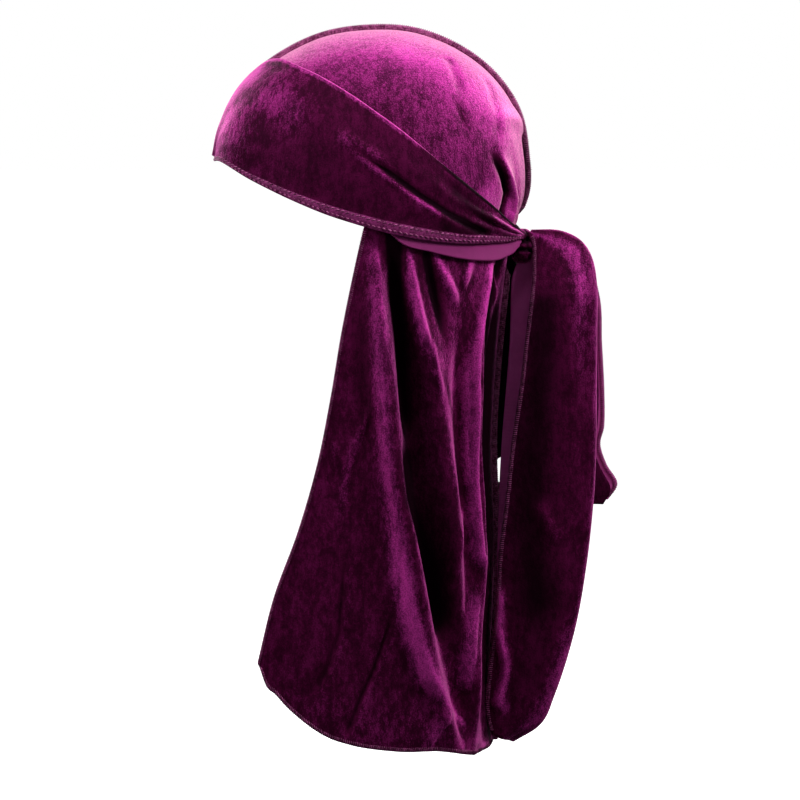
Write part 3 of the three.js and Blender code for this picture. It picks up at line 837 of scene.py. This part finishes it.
capeFolds = [
    {"at": foldLevels, "path": [0.04, 0.155, 0.26, 0.405, 0.6], "width": 0.055, "rise": 0.9, "ends": 0.55},
    {"at": foldLevels, "path": [0.1, 0.235, 0.36, 0.51, 0.7], "width": 0.06, "rise": -0.5, "ends": 0.3},
    {"at": foldLevels, "path": [0.2, 0.36, 0.5, 0.6, 0.8], "width": 0.065, "rise": 0.45, "ends": 0.3},
    {"at": foldLevels, "path": [0.5, 0.53, 0.59, 0.64, 0.62], "width": 0.055, "rise": -0.35, "ends": 0.3},
    {"at": foldLevels, "path": [0.74, 0.635, 0.68, 0.69, 0.68], "width": 0.05, "rise": 0.7, "ends": 0.7},
    {"at": foldLevels, "path": [0.86, 0.8, 0.83, 0.83, 0.82], "width": 0.05, "rise": -0.3, "ends": 0.5},
]
# on a cape panel: from its front edge, and down from the hem
# painted highlights along the fold ridges and painted shade in the valleys beside them and towards the seam
capeCreases = [
    crease([(18.5, 0), (21.5, 13), (28.5, 45.5), (34.5, 70), (40.9, 107.3), (47.1, 137.5)],
           rise=-7.5, paintedLight=-1.1, left=4.5, right=8.5, grow=0.04, fade=0.15),
    crease([(41.5, 120), (49, 167.9), (60, 194), (76.6, 232.4), (95, 264.4)],
           rise=-7.5, paintedLight=-1.1, left=4.5, right=11.5, grow=0.15, fade=0.2),
    crease([(5.7, 6.4), (16.2, 38), (20.6, 63.8), (24.8, 98.4), (30, 126.3), (34.3, 152), (40.4, 178),
            (47.6, 207.8), (58, 238.3), (66.6, 259.3), (76.4, 280), (92, 300)],
           rise=3, paintedLight=0.3, left=5.5, right=2.8, grow=0.05, fade=0.1),
    crease([(66.7, 78.4), (77.5, 97.6), (90.4, 116.9), (95.4, 136.1), (99.1, 155), (102.7, 173.9)],
           paintedLight=-0.4, left=3, right=3, grow=0.2, fade=0.2),
    crease([(38, 170), (44.6, 200), (55, 234.3), (64.6, 257.3), (76.4, 280), (96, 300.5), (108, 309)],
           paintedLight=0.5, left=5, right=5, grow=0.25, fade=0.08),
    crease([(42.5, 182.2), (47.1, 207.3), (51.1, 226.2), (53.4, 239)], rise=-1.4, left=1.6, right=1.6),
    crease([(31.5, 5.9), (36.5, 23), (43.9, 42.1), (50.8, 60.2), (54.5, 69.5), (58.1, 84.8)],
           rise=4.4, paintedLight=0.62, left=4.5, right=2.8, grow=0.1, fade=0.4),
    crease([(56.3, 63), (62.4, 84.6), (71.1, 103.1)], rise=1.8, paintedLight=0.3, left=3, right=2.5),
    crease([(4.9, 40), (11, 84.5), (18, 113.6), (25.4, 142.7)],
           paintedLight=-0.16, left=6, right=6, grow=0.3, fade=0.3),
    crease([(121.2, 15.3), (130.6, 27.5), (138, 39.9)], paintedLight=0.5, left=1.6, right=1.6, grow=0.1),
    crease([(47, 0), (52.5, 9.5), (62, 21.6), (73, 33.7), (86, 45.4)],
           rise=3.4, paintedLight=0.55, left=3.5, right=3.5, grow=0.03),
    crease([(97.5, 0), (92.1, 13.1), (87.4, 24), (83.4, 33.4)],
           rise=3, paintedLight=0.55, left=3.2, right=3.2, grow=0.03),
    crease([(45, 8), (54, 28), (64, 50), (75, 75)],
           rise=-3.4, paintedLight=-0.9, left=4, right=5, grow=0.1, fade=0.5),
    crease([(119.5, 0), (116.6, 16.5), (112.3, 27.1), (106, 53), (102, 73.7), (101.3, 90), (105.4, 129),
            (107.7, 158.7), (110, 182.5), (112.7, 202.3), (118, 212)],
           rise=4.2, paintedLight=0.66, left=3.8, right=2.2, grow=0.03, fade=0.08),
    crease([(129.5, 0), (126.5, 16.5), (122.5, 27.1), (117, 53), (113, 73.7), (112.5, 90), (116, 129),
            (119, 158.7), (121, 182.5), (124, 202.3)],
           rise=-5, paintedLight=-1.2, left=3.5, right=9, grow=0.03, fade=0.1),
    crease([(136, 30), (132, 100), (134, 150), (138, 210)],
           paintedLight=-0.8, left=11, right=16, grow=0.2, fade=0.2),
    crease([(150, 0), (150, 100), (152, 200), (152, 330)],
           paintedLight=-0.5, left=12, right=20, grow=0.1, fade=0.02),
    crease([(85, 150), (85, 200), (88, 240)], paintedLight=-0.22, left=14, right=14),
    crease([(0, 325), (50, 318), (100, 320)], paintedLight=0.1, left=12, right=20, grow=0.3, fade=0.2),
    crease([(90, 60), (90.5, 100), (92, 150)], paintedLight=0.12, left=8, right=6),
    crease([(97.2, 73.7), (97.2, 90.6), (100.4, 122.5), (103.2, 148), (106, 167)],
           rise=1.5, paintedLight=0.35, left=1.8, right=1.2),
    crease([(110.5, 215), (111.6, 234.6), (110.5, 253.7), (109.2, 279.3), (109.2, 295.5)],
           rise=3.4, paintedLight=0.5, left=4.5, right=3),
    crease([(105.2, 167.3), (93, 192.5), (88.6, 219.2), (89.3, 238.7)], rise=1.8, left=4, right=4),
    crease([(23.4, 103.5), (18.9, 125.6), (13.8, 144.6), (11, 165.3), (11.4, 184.1), (14.2, 210)],
           rise=1.4, paintedLight=0.2, left=2, right=2),
    crease([(2, 151.7), (5, 160), (8.8, 170)], rise=1, left=2, right=2),
    crease([(16.7, 204.1), (19.8, 234.6), (24.1, 264.5), (21.7, 292.5), (14.8, 320)],
           rise=-1.6, paintedLight=-0.3, left=2, right=1.4),
    crease([(19, 204.1), (22.4, 234.6), (26.8, 264.5), (24.2, 292.5), (17.2, 320)],
           paintedLight=0.1, left=2, right=2),
    crease([(51.6, 230.8), (48.5, 256.1), (46.8, 270.4), (44.6, 282.6), (40.4, 297.8), (34.1, 326.6)],
           rise=-2.2, paintedLight=-0.45, left=2.2, right=1.4, fade=0.05),
    crease([(54, 231.8), (51.1, 257.1), (49.4, 271.4), (47.2, 283.6), (43, 298.8), (36.7, 326.6)],
           paintedLight=0.14, left=2.2, right=2),
    crease([(88.1, 295.9), (99.9, 303.9), (108.5, 308.5), (111, 315)],
           rise=1.2, paintedLight=0.5, left=2.2, right=2.2),
    crease([(111.9, 322.3), (127.1, 321.7), (138, 327), (148, 328.4)],
           rise=1, paintedLight=0.55, left=1.8, right=1.8),
    crease([(79.7, 330), (84, 322.8), (87.7, 314.7), (90.6, 308.9), (93.1, 302.5)],
           rise=2.2, left=1.4, right=6),
    crease([(125.1, 16.5), (130.5, 31.8), (138, 42.6)], rise=2, left=1.6, right=1.6),
]


@lru_cache(maxsize=None)
def capeLevel(level):
    return (
        read(capeRows, level, "edgeX") * cape["width"] / 2,
        browY + durag["length"] / 2 - cape["swing"] * read(capeRows, level, "swing"),
        browY + durag["length"] * read(capeRows, level, "seamY"),
        read(capeRows, level, "round"),
        [read(row, level, "path") for row in capeFolds],
    )


@lru_cache(maxsize=None)
def capeTop(share):
    place = cape["front"] + (1 - cape["front"]) * share
    top = domePoint(place, crown["edge"]) + domeDown(place, crown["edge"]) * durag["gap"]
    return top - domeNormal(place, crown["edge"]) * cape["tuck"]


def capeRise(share, level):
    grown = smooth(cape["foldStart"], cape["foldFull"], level)
    paths = capeLevel(level)[4]
    return sum(
        row["rise"] * cape["fold"] * grown * (1 - (1 - row["ends"]) * smooth(0.6, 1, level))
        * bump(share - path, row["width"])
        for row, path in zip(capeFolds, paths)
    )


# the far panel's folds that stand out beyond the seam, with painted shade on them
farCreases = [
    crease([(160, 4), (160, 149)], rise=9.6, paintedLight=-0.6, left=9, right=4.5, grow=0.14, fade=0.05),
    crease([(160, 158), (160, 320)], rise=8.8, paintedLight=-0.6, left=9, right=4.5, grow=0.04, fade=0.3),
]


def capeSpot(share, level):
    return (share * cape["cloth"][0], level * cape["cloth"][1])


@lru_cache(maxsize=None)
def capeMarks(share, level):
    return creaseMarks(capeCreases, capeSpot(share, level))


def capePoint(share, level):
    turn = share * math.pi / 2
    top = capeTop(share)

    def plan(at):
        edgeX, edgeY, seamY, curve, _ = capeLevel(at)
        return edgeX * max(math.cos(turn), 0) ** curve, edgeY + (seamY - edgeY) * math.sin(turn) ** curve

    leave = 1 - smooth(0, cape["blend"], level)
    here, above = plan(level), plan(0)
    bottom = -durag["nape"] - read(capeHem, share, "drop") * cape["length"]
    point = Vector((
        here[0] + (top.x - above[0]) * leave,
        here[1] + (top.y - above[1]) * leave,
        top.z + (bottom - top.z) * level,
    ))
    along, down = capeSpot(share, level)
    rise = capeRise(share, level) + capeMarks(round(share, 6), round(level, 6))[0] * smooth(0.03, 0.09, level)
    rise += cape["uneven"] * wander((along, down * 0.3), 0.014, 5) * smooth(0.02, 0.2, level)
    return point + Vector((math.cos(turn), math.sin(turn), 0)) * rise


def capeShape(side):
    extra = farCreases if side == "right" else []

    def shape(u, v):
        share = u * (cape["spacing"] + (1 - cape["spacing"]) * u)
        lift, paintedLight = creaseMarks(extra, capeSpot(share, v))
        point = capePoint(share, v)
        point.y += lift
        point.x += durag["gap"] / 2
        # with the painted highlight and shade of its creases
        return point, capeMarks(round(share, 6), round(v, 6))[1] + paintedLight + cape["paintedLight"]

    return shape


def awayFromAxis(point):
    return Vector((point.x, point.y, 0))


for side in ("left", "right"):
    panel = clothSheet(
        "cape_panel_" + side, cape["steps"], capeShape(side), cape["cut"], awayFromAxis, side == "right"
    )
    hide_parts("cape_" + side)
print("cape made")


# Free ends of the ties
# each end is painted a little darker all over as painted shade, the short one behind the knot most
tails = {
    "left": {
        "width": 0.042, "length": 0.338, "spread": 0.016, "middle": 0.014,
        "side": 1, "flat": (0.1, 0.34), "paintedLight": -0.05,
    },
    "right": {
        "width": 0.06, "length": 0.181, "spread": 0.012, "middle": 0.014,
        "side": -1, "flat": (0.105, 0.17), "paintedLight": -0.28,
    },
    "gather": 0.4,
    "opened": 0.3,
    "bend": 0.28,
    "bow": 0.004,
    "knotDepth": 0.014,
    "tucked": 0.003,
    "steps": (150, 60),
    "hinge": 0.42,
    "unfolded": 2.4,
    "uneven": 0.0009,
}
tailRows = {
    "left": {
        "at": [0, 0.05, 0.1, 0.15, 0.21, 0.3, 0.4, 0.5, 0.6, 0.7, 0.8, 0.9, 0.96, 1],
        "edgeY": [0.01, 0.01, 0.01, 0.01, -0.02, -0.1, -0.19, -0.3, -0.39, -0.5, -0.55, -0.67, -0.69, -0.6],
        "edgeDrop": [0.005, 0.03, 0.06, 0.09, 0.13, 0.21, 0.31, 0.405, 0.51, 0.63, 0.75, 0.87, 0.935, 0.984],
        "foldY": [0.06, 0.42, 0.74, 0.92, 1, 1, 1, 1, 0.965, 0.86, 0.68, 0.37, 0.14, -0.26],
        "foldDrop": [0.003, 0.004, 0.022, 0.055, 0.11, 0.2, 0.31, 0.41, 0.52, 0.65, 0.78, 0.908, 0.967, 0.999],
        "backY": [-0.1, -0.194, -0.3, -0.325, -0.33, -0.35, -0.4, -0.46, -0.5, -0.53, -0.53, -0.55, -0.52, -0.42],
        "backDrop": [0.04, 0.0566, 0.09, 0.125, 0.17, 0.235, 0.315, 0.41, 0.51, 0.63, 0.75, 0.87, 0.94, 0.984],
    },
    "right": {
        "at": [0, 0.1, 0.2, 0.3, 0.45, 0.6, 0.72, 0.8, 0.86, 0.93, 1],
        "edgeY": [0, 0.34, 0.62, 0.75, 0.78, 0.81, 0.81, 0.77, 0.84, 0.96, 0.86],
        "edgeDrop": [0.03, 0.03, 0.12, 0.25, 0.42, 0.6, 0.73, 0.8, 0.87, 0.94, 1],
        "foldY": [-0.01, 0, -0.02, -0.05, -0.08, -0.1, -0.1, -0.09, -0.08, -0.06, -0.04],
        "foldDrop": [0.09, 0.18, 0.27, 0.36, 0.5, 0.65, 0.77, 0.84, 0.9, 0.96, 1],
        "backY": [0, 0.3, 0.58, 0.7, 0.72, 0.74, 0.73, 0.69, 0.76, 0.88, 0.8],
        "backDrop": [0.04, 0.05, 0.14, 0.26, 0.42, 0.59, 0.72, 0.8, 0.87, 0.95, 1.01],
    },
}
# on a free end: down from the knot, and across from its front edge
# painted highlights on the rolled edge low down, along the far edge and on the shoulder, and painted shade down
# the middle
tailCreases = {
    "left": [
        crease([(248.9, 1.3), (261, 1.8), (275.5, 1.4), (286.1, 6.3), (294.1, 10.8), (303, 11.4),
                (314.3, 9.2), (323.7, 4)], rise=3, paintedLight=0.75, left=3.2, right=2.8, grow=0.15, fade=0.15),
        crease([(314.7, 10.4), (321.7, 18.9)], paintedLight=0.45, left=5, right=4, grow=0.2, fade=0.2),
        crease([(247.6, 43.8), (265.3, 43.2), (280.5, 43.7), (294.1, 44), (307.6, 43.5), (322.8, 40.1),
                (331.5, 32)], paintedLight=0.34, left=6, right=6, grow=0.4, fade=0.1),
        crease([(204.5, 16), (216, 23.4), (228, 31)], rise=2, paintedLight=0.3, left=4, right=4),
        crease([(4, 16), (20, 26), (45, 34), (100, 37), (160, 40)],
               paintedLight=0.4, left=8, right=8, grow=0.02, fade=0.5),
        crease([(60, 8), (120, 12), (200, 12), (280, 24)],
               paintedLight=-0.38, left=12, right=12, grow=0.1, fade=0.1),
        crease([(230, 26), (270, 27), (310, 26)], paintedLight=-0.12, left=12, right=10, grow=0.3, fade=0.1),
    ],
    "right": [],
}


def tailShape(side):
    rows, size = tailRows[side], tails[side]
    startY = napeY + durag["wall"] / 2 + tails["knotDepth"] + durag["gap"]
    hinge = tails["hinge"]

    def corner(place, name, x):
        return Vector((
            x,
            startY + read(rows, place, name + "Y") * size["width"],
            knotTop - read(rows, place, name + "Drop") * size["length"],
        ))

    @lru_cache(maxsize=None)
    def section(place):
        grown = tails["gather"] + (1 - tails["gather"]) * smooth(0, tails["opened"], place)
        half = size["spread"] * grown / 2
        middle = size["middle"] * grown
        edge = corner(place, "edge", size["side"] * (middle + half))
        back = corner(place, "back", size["side"] * (middle - half))
        fold = corner(place, "fold", size["side"] * middle)
        inward = (edge + back) / 2 - fold
        inward.x = 0
        return edge, back, fold, inward.normalized(), 2 * half * tails["bend"]

    def shape(u, v):
        edge, back, fold, inward, curve = section(u)

        def bend(degrees):
            turn = math.radians(degrees)
            point = fold + inward * curve * (1 - math.cos(turn))
            point.x += size["side"] * curve * math.sin(turn)
            return point

        if v < hinge:
            point = edge.lerp(bend(90), v / hinge)
        elif v < 1 - hinge:
            point = bend(90 - 180 * (v - hinge) / (1 - 2 * hinge))
        else:
            point = bend(-90).lerp(back, (v - 1 + hinge) / hinge)
        point.y -= tails["tucked"] * (1 - smooth(0, 0.06, u))
        spot = (u * size["length"], v * size["width"] * tails["unfolded"])
        lift, paintedLight = creaseMarks(tailCreases[side], spot)
        lift += tails["bow"] * math.sin(math.pi * min(v, 1 - v) / 0.5) * smooth(0, 0.2, u)
        lift += tails["uneven"] * wander((spot[0] * 0.4, spot[1]), 0.012, 7) * smooth(0, 0.15, u)
        out = size["side"] * (1 if v < 0.5 else -1)
        point.x += out * lift * min(abs(v - 0.5) * 6, 1)
        return point, paintedLight + size["paintedLight"]

    return shape


for side in ("left", "right"):
    size = tails[side]
    free = clothSheet(
        "tie_end_" + side, tails["steps"], tailShape(side), (size["length"], size["width"] * tails["unfolded"]),
        lambda point: Vector((point.x - size["side"] * size["middle"], 10 * (point.y - 0.13), 0)),
        lining=paintedLitReverse,
    )
    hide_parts("tail_" + side)
print("free ends made")


# Knot
knot = {
    "depth": 0.0165,
    "around": 96,
    "levels": 60,
    "grooves": (0.20, 0.15, 0.10),
    "ripple": 0.03,
    "square": 0.8,
    "barrel": 0.7,
    "paintedLight": -0.1,
}


def knotShape(direction):
    # a barrel of wound cloth: two slanting grooves around it and one down its side, with painted shade in the
    # grooves and a little all over
    turn = math.atan2(direction.y, direction.x)
    rise = direction.z
    ring = math.hypot(direction.x, direction.y) ** knot["barrel"]
    upper, lower, upright = knot["grooves"]
    groove = upper * bump(rise - 0.30 - 0.22 * math.sin(turn), 0.13)
    groove += lower * bump(rise + 0.42 - 0.25 * math.cos(turn), 0.12)
    groove += upright * bump(math.sin(turn - 0.4), 0.18) * smooth(-0.3, 0.4, rise)
    size = 1 - groove - knot["ripple"] * math.sin(5 * turn + 7 * rise) ** 2
    x = squared(math.cos(turn), knot["square"]) * ring * durag["knotWidth"] * size / 2
    y = squared(math.sin(turn), knot["square"]) * ring * knot["depth"] * size / 2
    middle = Vector((0, napeY + durag["wall"] / 2 + knot["depth"] / 2, knotTop - durag["knotHeight"] / 2))
    return middle + Vector((x, y, rise * durag["knotHeight"] / 2)), knot["paintedLight"] - 4 * groove


def makeKnot():
    built = bmesh.new()
    bmesh.ops.create_uvsphere(built, u_segments=knot["around"], v_segments=knot["levels"], radius=1)
    sheenAndPaintedLight = built.verts.layers.float.new("paintedLight")
    for vert in built.verts:
        vert.co, vert[sheenAndPaintedLight] = knotShape(vert.co.normalized())
    for face in built.faces:
        face.smooth = True
    bmesh.ops.recalc_face_normals(built, faces=built.faces)
    return finished("knot_wrap", built, [velvet])


wrap = makeKnot()
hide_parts("knot")
print("knot made")


# Seams
seams = {
    "height": 0.003,
    "pitch": 0.0014,
    "yarn": 0.0005,
    "flat": 0.15,
    "spread": 0.0018,
    "crownLow": (0.945, 0.985),
    "crownSunk": (0.76, 0.83),
    "capeLow": (0.055, 0.08),
}
# outline of a ridge: share of its half width, share of its height; its foot stands between the panels
ridgeOutline = [(0.1, -1), (0.1, -0.1), (0.8, 0), (1, 0.25), (1, 0.65), (0.75, 0.92), (0, 1)]
ridgeOutline += [(-across, rise) for across, rise in reversed(ridgeOutline[:-1])]


def makeRidge(name, line, sunk=None):
    # a bead of cloth along the seam line, each step with its point, outward way, half width and height;
    # sunk gives the shares of the line between which its foot goes deeper and the bead is painted darker as
    # painted shade
    around = len(ridgeOutline)
    built = bmesh.new()
    bmesh.ops.create_grid(built, x_segments=len(line) - 1, y_segments=around, size=0.5)
    sheenAndPaintedLight = built.verts.layers.float.new("paintedLight")
    for vert in built.verts:
        step = round((vert.co.x + 0.5) * (len(line) - 1))
        across, rise = ridgeOutline[round((vert.co.y + 0.5) * around) % around]
        point, out, half, height = line[step]
        parted = smooth(*sunk, step / (len(line) - 1)) if sunk else 0
        vert[sheenAndPaintedLight] = -0.45 * parted
        if rise == -1:
            rise -= parted
        vert.co = point + out * (durag["wall"] / 2 + height * rise) + Vector((across * half, 0, 0))
    bmesh.ops.remove_doubles(built, verts=built.verts, dist=1e-6)
    bmesh.ops.holes_fill(built, edges=[e for e in built.edges if e.is_boundary], sides=0)
    for face in built.faces:
        face.smooth = True
    bmesh.ops.recalc_face_normals(built, faces=built.faces)
    return finished(name, built, [overlock])


def crownStep(place):
    # flat where it goes in under the knot
    low = smooth(*seams["crownLow"], place)
    half = durag["seamWidth"] / 2 + seams["spread"] * low
    height = (seams["height"] + durag["gap"]) * (1 - (1 - seams["flat"]) * low)
    return domePoint(place, 0), domeNormal(place, 0), half, height


def capeStep(level):
    # flat behind the knot, where it also joins the tops of the two panels
    point = capePoint(1, level)
    half = durag["seamWidth"] / 2 + max(point.x, 0)
    point.x = 0
    raised = seams["flat"] + (1 - seams["flat"]) * smooth(*seams["capeLow"], level)
    return point, Vector((0, 1, 0)), half, (seams["height"] + durag["gap"]) * raised


crownLine = [crownStep(durag["start"] + (0.998 - durag["start"]) * k / 240) for k in range(241)]
capeLine = [capeStep(0.002 + 0.996 * k / 220) for k in range(221)]
# a tab that goes up inside the end of the crown, under the knot
topStep = capeLine[0]
capeLine = [(topStep[0] + Vector((0, -0.0008, 0.001 * k)), *topStep[1:]) for k in (8, 6, 4, 2)] + capeLine


def ridgeYarn(name, line, yarn):
    # wound over the ridge where it stands at its full height
    across = Vector((1, 0, 0))
    standing = [
        (point + out * (durag["wall"] / 2 + height), -out, across)
        for point, out, half, height in line if height > seams["height"]
    ]
    wound = wrapped(standing, seams["pitch"], seams["height"], durag["seamWidth"] + seams["yarn"])
    return thread(name, wound, seams["yarn"], yarn)


for name, line, yarn, sunk in (
    ("crown_seam", crownLine, overlock, seams["crownSunk"]),
    ("cape_seam", capeLine, paintedLitSeaming, None),
):
    ridge = makeRidge(name + "_ridge", line, sunk)
    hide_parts(name)
    ridgeYarn(name + "_yarn", line, yarn)
print("seams made")


# Overlocked edges and stitches
edges = {
    "pitch": 0.0013,
    "width": 0.0031,
    "height": 0.0024,
    "yarn": 0.0006,
    "stitch": (0.0028, 0.0011),
    "lean": 0.35,
    "spacing": 0.0033,
    "rows": (0.0004, 0.0018),
    "first": 0.02,
    "last": 0.91,
}


def edgeYarn(name, shape, spots, inside, mirrored=False):
    # a yarn wound over the edge that runs through the given places on a sheet
    line = []
    for (u, v), (iu, iv) in zip(spots, inside):
        point = shape(u, v)[0]
        inward = (shape(iu, iv)[0] - point).normalized()
        line.append((point, inward))
    turned = []
    for k, (point, inward) in enumerate(line):
        along = line[min(k + 1, len(line) - 1)][0] - line[max(k - 1, 0)][0]
        turned.append((point, inward, inward.cross(along).normalized()))
    if mirrored:
        flip = Matrix.Scale(-1, 4, (1, 0, 0))
        turned = [tuple(flip @ v for v in row) for row in turned]
    return thread(name, wrapped(turned, edges["pitch"], edges["width"], edges["height"]), edges["yarn"], edging)


for side in ("left", "right"):
    shape = capeShape(side)
    spots = [(0, 0.02 + 0.98 * k / 160) for k in range(161)] + [(k / 160, 1) for k in range(1, 159)]
    inside = [(0.02, min(v, 0.99)) if u == 0 else (u, 0.98) for u, v in spots]
    edgeYarn("cape_edge_yarn_" + side, shape, spots, inside, side == "right")
    shape = tailShape(side)
    spots = [(0.02 + 0.97 * k / 200, 0) for k in range(201)]
    edgeYarn("tie_end_yarn_" + side, shape, spots, [(u, 0.03) for u, v in spots])


def tieShare(place):
    return (place - durag["start"]) / (tie["end"] - durag["start"])


def makeStitches(name, mirrored):
    # two rows of short stitches along the hem
    built = bmesh.new()
    length, thick = edges["stitch"]
    place = edges["first"]
    while place < edges["last"]:
        u = tieShare(place)
        for row, inward in enumerate(edges["rows"]):
            v = (1 + tie["hemRows"] * inward / tie["hemWidth"]) / tie["steps"][1]
            here, ahead, up = tieShape(u, v)[0], tieShape(u + 0.004, v)[0], tieShape(u, v + 0.006)[0]
            along = (ahead - here).normalized()
            out = along.cross(up - here).normalized()
            out = out if out.x > 0 or out.y < -0.5 else -out
            lean = (along + (up - here).normalized() * edges["lean"] * (1 if row else -1)).normalized()
            spot = here + out * (durag["wall"] / 2 + 0.0002)
            turned = Matrix((lean, out.cross(lean), out)).transposed().to_4x4()
            shaped = Matrix.Translation(spot) @ turned @ Matrix.Diagonal((length / 2, thick / 2, thick / 2, 1))
            bmesh.ops.create_uvsphere(built, u_segments=6, v_segments=4, radius=1, matrix=shaped)
        # on along the hem to the next pair
        here, travelled = tieShape(u, 0.03)[0], 0
        while travelled < edges["spacing"] and place < tie["end"]:
            place += 0.001
            ahead = tieShape(tieShare(place), 0.03)[0]
            travelled += (ahead - here).length
            here = ahead
    if mirrored:
        bmesh.ops.transform(built, matrix=Matrix.Scale(-1, 4, (1, 0, 0)), verts=built.verts)
    for face in built.faces:
        face.smooth = True
    bmesh.ops.recalc_face_normals(built, faces=built.faces)
    piece = finished(name, built, [overlock])


for side in ("left", "right"):
    makeStitches("hem_stitches_" + side, side == "right")
print("edges and stitches made")


# Camera, floor and light
studio = {
    "target": (0, 0.0231, -0.1617),
    "azimuth": 92,
    "elevation": 5,
    "distance": 1.9,
    "lens": 129.55,
    "floor": -0.47,
    "sky": 0.11,
    "lamps": {
        "top": {"place": (0.1, 0.1, 0.8), "target": (0, 0.03, 0), "power": 6.6, "size": 0.5},
        "back": {"place": (0.35, 0.8, 0.5), "target": (0, 0.08, -0.05), "power": 9.7, "size": 0.4},
        "front": {"place": (0.5, -0.75, 0.35), "target": (0, -0.05, 0), "power": 6.4, "size": 0.4},
        "farBack": {"place": (-0.45, 0.75, 0.45), "target": (0, 0.08, -0.05), "power": 5, "size": 0.4},
        "farFront": {"place": (-0.6, -0.65, 0.3), "target": (0, -0.05, 0), "power": 4, "size": 0.4},
    },
}


def placeCamera():
    azimuth, elevation = math.radians(studio["azimuth"]), math.radians(studio["elevation"])
    back = Vector((
        math.sin(azimuth) * math.cos(elevation),
        -math.cos(azimuth) * math.cos(elevation),
        math.sin(elevation),
    ))
    data = bpy.data.cameras.new("camera")
    data.lens = studio["lens"]
    data.clip_end = 100
    camera = bpy.data.objects.new("camera", data)
    camera.location = Vector(studio["target"]) + back * studio["distance"]
    camera.rotation_euler = (-back).to_track_quat("-Z", "Y").to_euler()
    bpy.context.scene.collection.objects.link(camera)
    bpy.context.scene.camera = camera


def placeFloor():
    built = bmesh.new()
    bmesh.ops.create_circle(built, cap_ends=True, segments=64, radius=60)
    bmesh.ops.translate(built, verts=built.verts, vec=(0, 0, studio["floor"]))
    mesh = bpy.data.meshes.new("floor")
    built.to_mesh(mesh)
    built.free()
    floor = bpy.data.objects.new("floor", mesh)
    bpy.context.scene.collection.objects.link(floor)
    paint = Finish("floor", {
        "Base Color": (0.86, 0.86, 0.86, 1),
        "Roughness": 0.9,
        "Specular IOR Level": 0.1,
        "Emission Color": (1, 1, 1, 1),
        "Emission Strength": 1.0,
    })
    mesh.materials.append(paint.material)
    floor.visible_diffuse = floor.visible_glossy = False


def placeLamp(name, place, target, power, size):
    data = bpy.data.lights.new(name, "AREA")
    data.energy = power
    data.shape = "SQUARE"
    data.size = size
    lamp = bpy.data.objects.new(name, data)
    lamp.location = place
    lamp.rotation_euler = (Vector(place) - Vector(target)).to_track_quat("Z", "Y").to_euler()
    bpy.context.scene.collection.objects.link(lamp)


def placeSky():
    # even light all around, and plain white where the camera sees it
    world = bpy.data.worlds.new("studio")
    world.use_nodes = True
    tree = world.node_tree
    seen = tree.nodes.new("ShaderNodeLightPath")
    lit = tree.nodes["Background"]
    lit.inputs["Color"].default_value = (1, 1, 1, 1)
    lit.inputs["Strength"].default_value = studio["sky"]
    plain = tree.nodes.new("ShaderNodeBackground")
    plain.inputs["Color"].default_value = (1, 1, 1, 1)
    both = tree.nodes.new("ShaderNodeMixShader")
    tree.links.new(seen.outputs["Is Camera Ray"], both.inputs[0])
    tree.links.new(lit.outputs[0], both.inputs[1])
    tree.links.new(plain.outputs[0], both.inputs[2])
    tree.links.new(both.outputs[0], tree.nodes["World Output"].inputs["Surface"])
    bpy.context.scene.world = world


placeCamera()
placeFloor()
placeSky()
for name, lamp in studio["lamps"].items():
    placeLamp(name, **lamp)
bpy.context.scene.view_settings.view_transform = "Standard"
print("studio made")
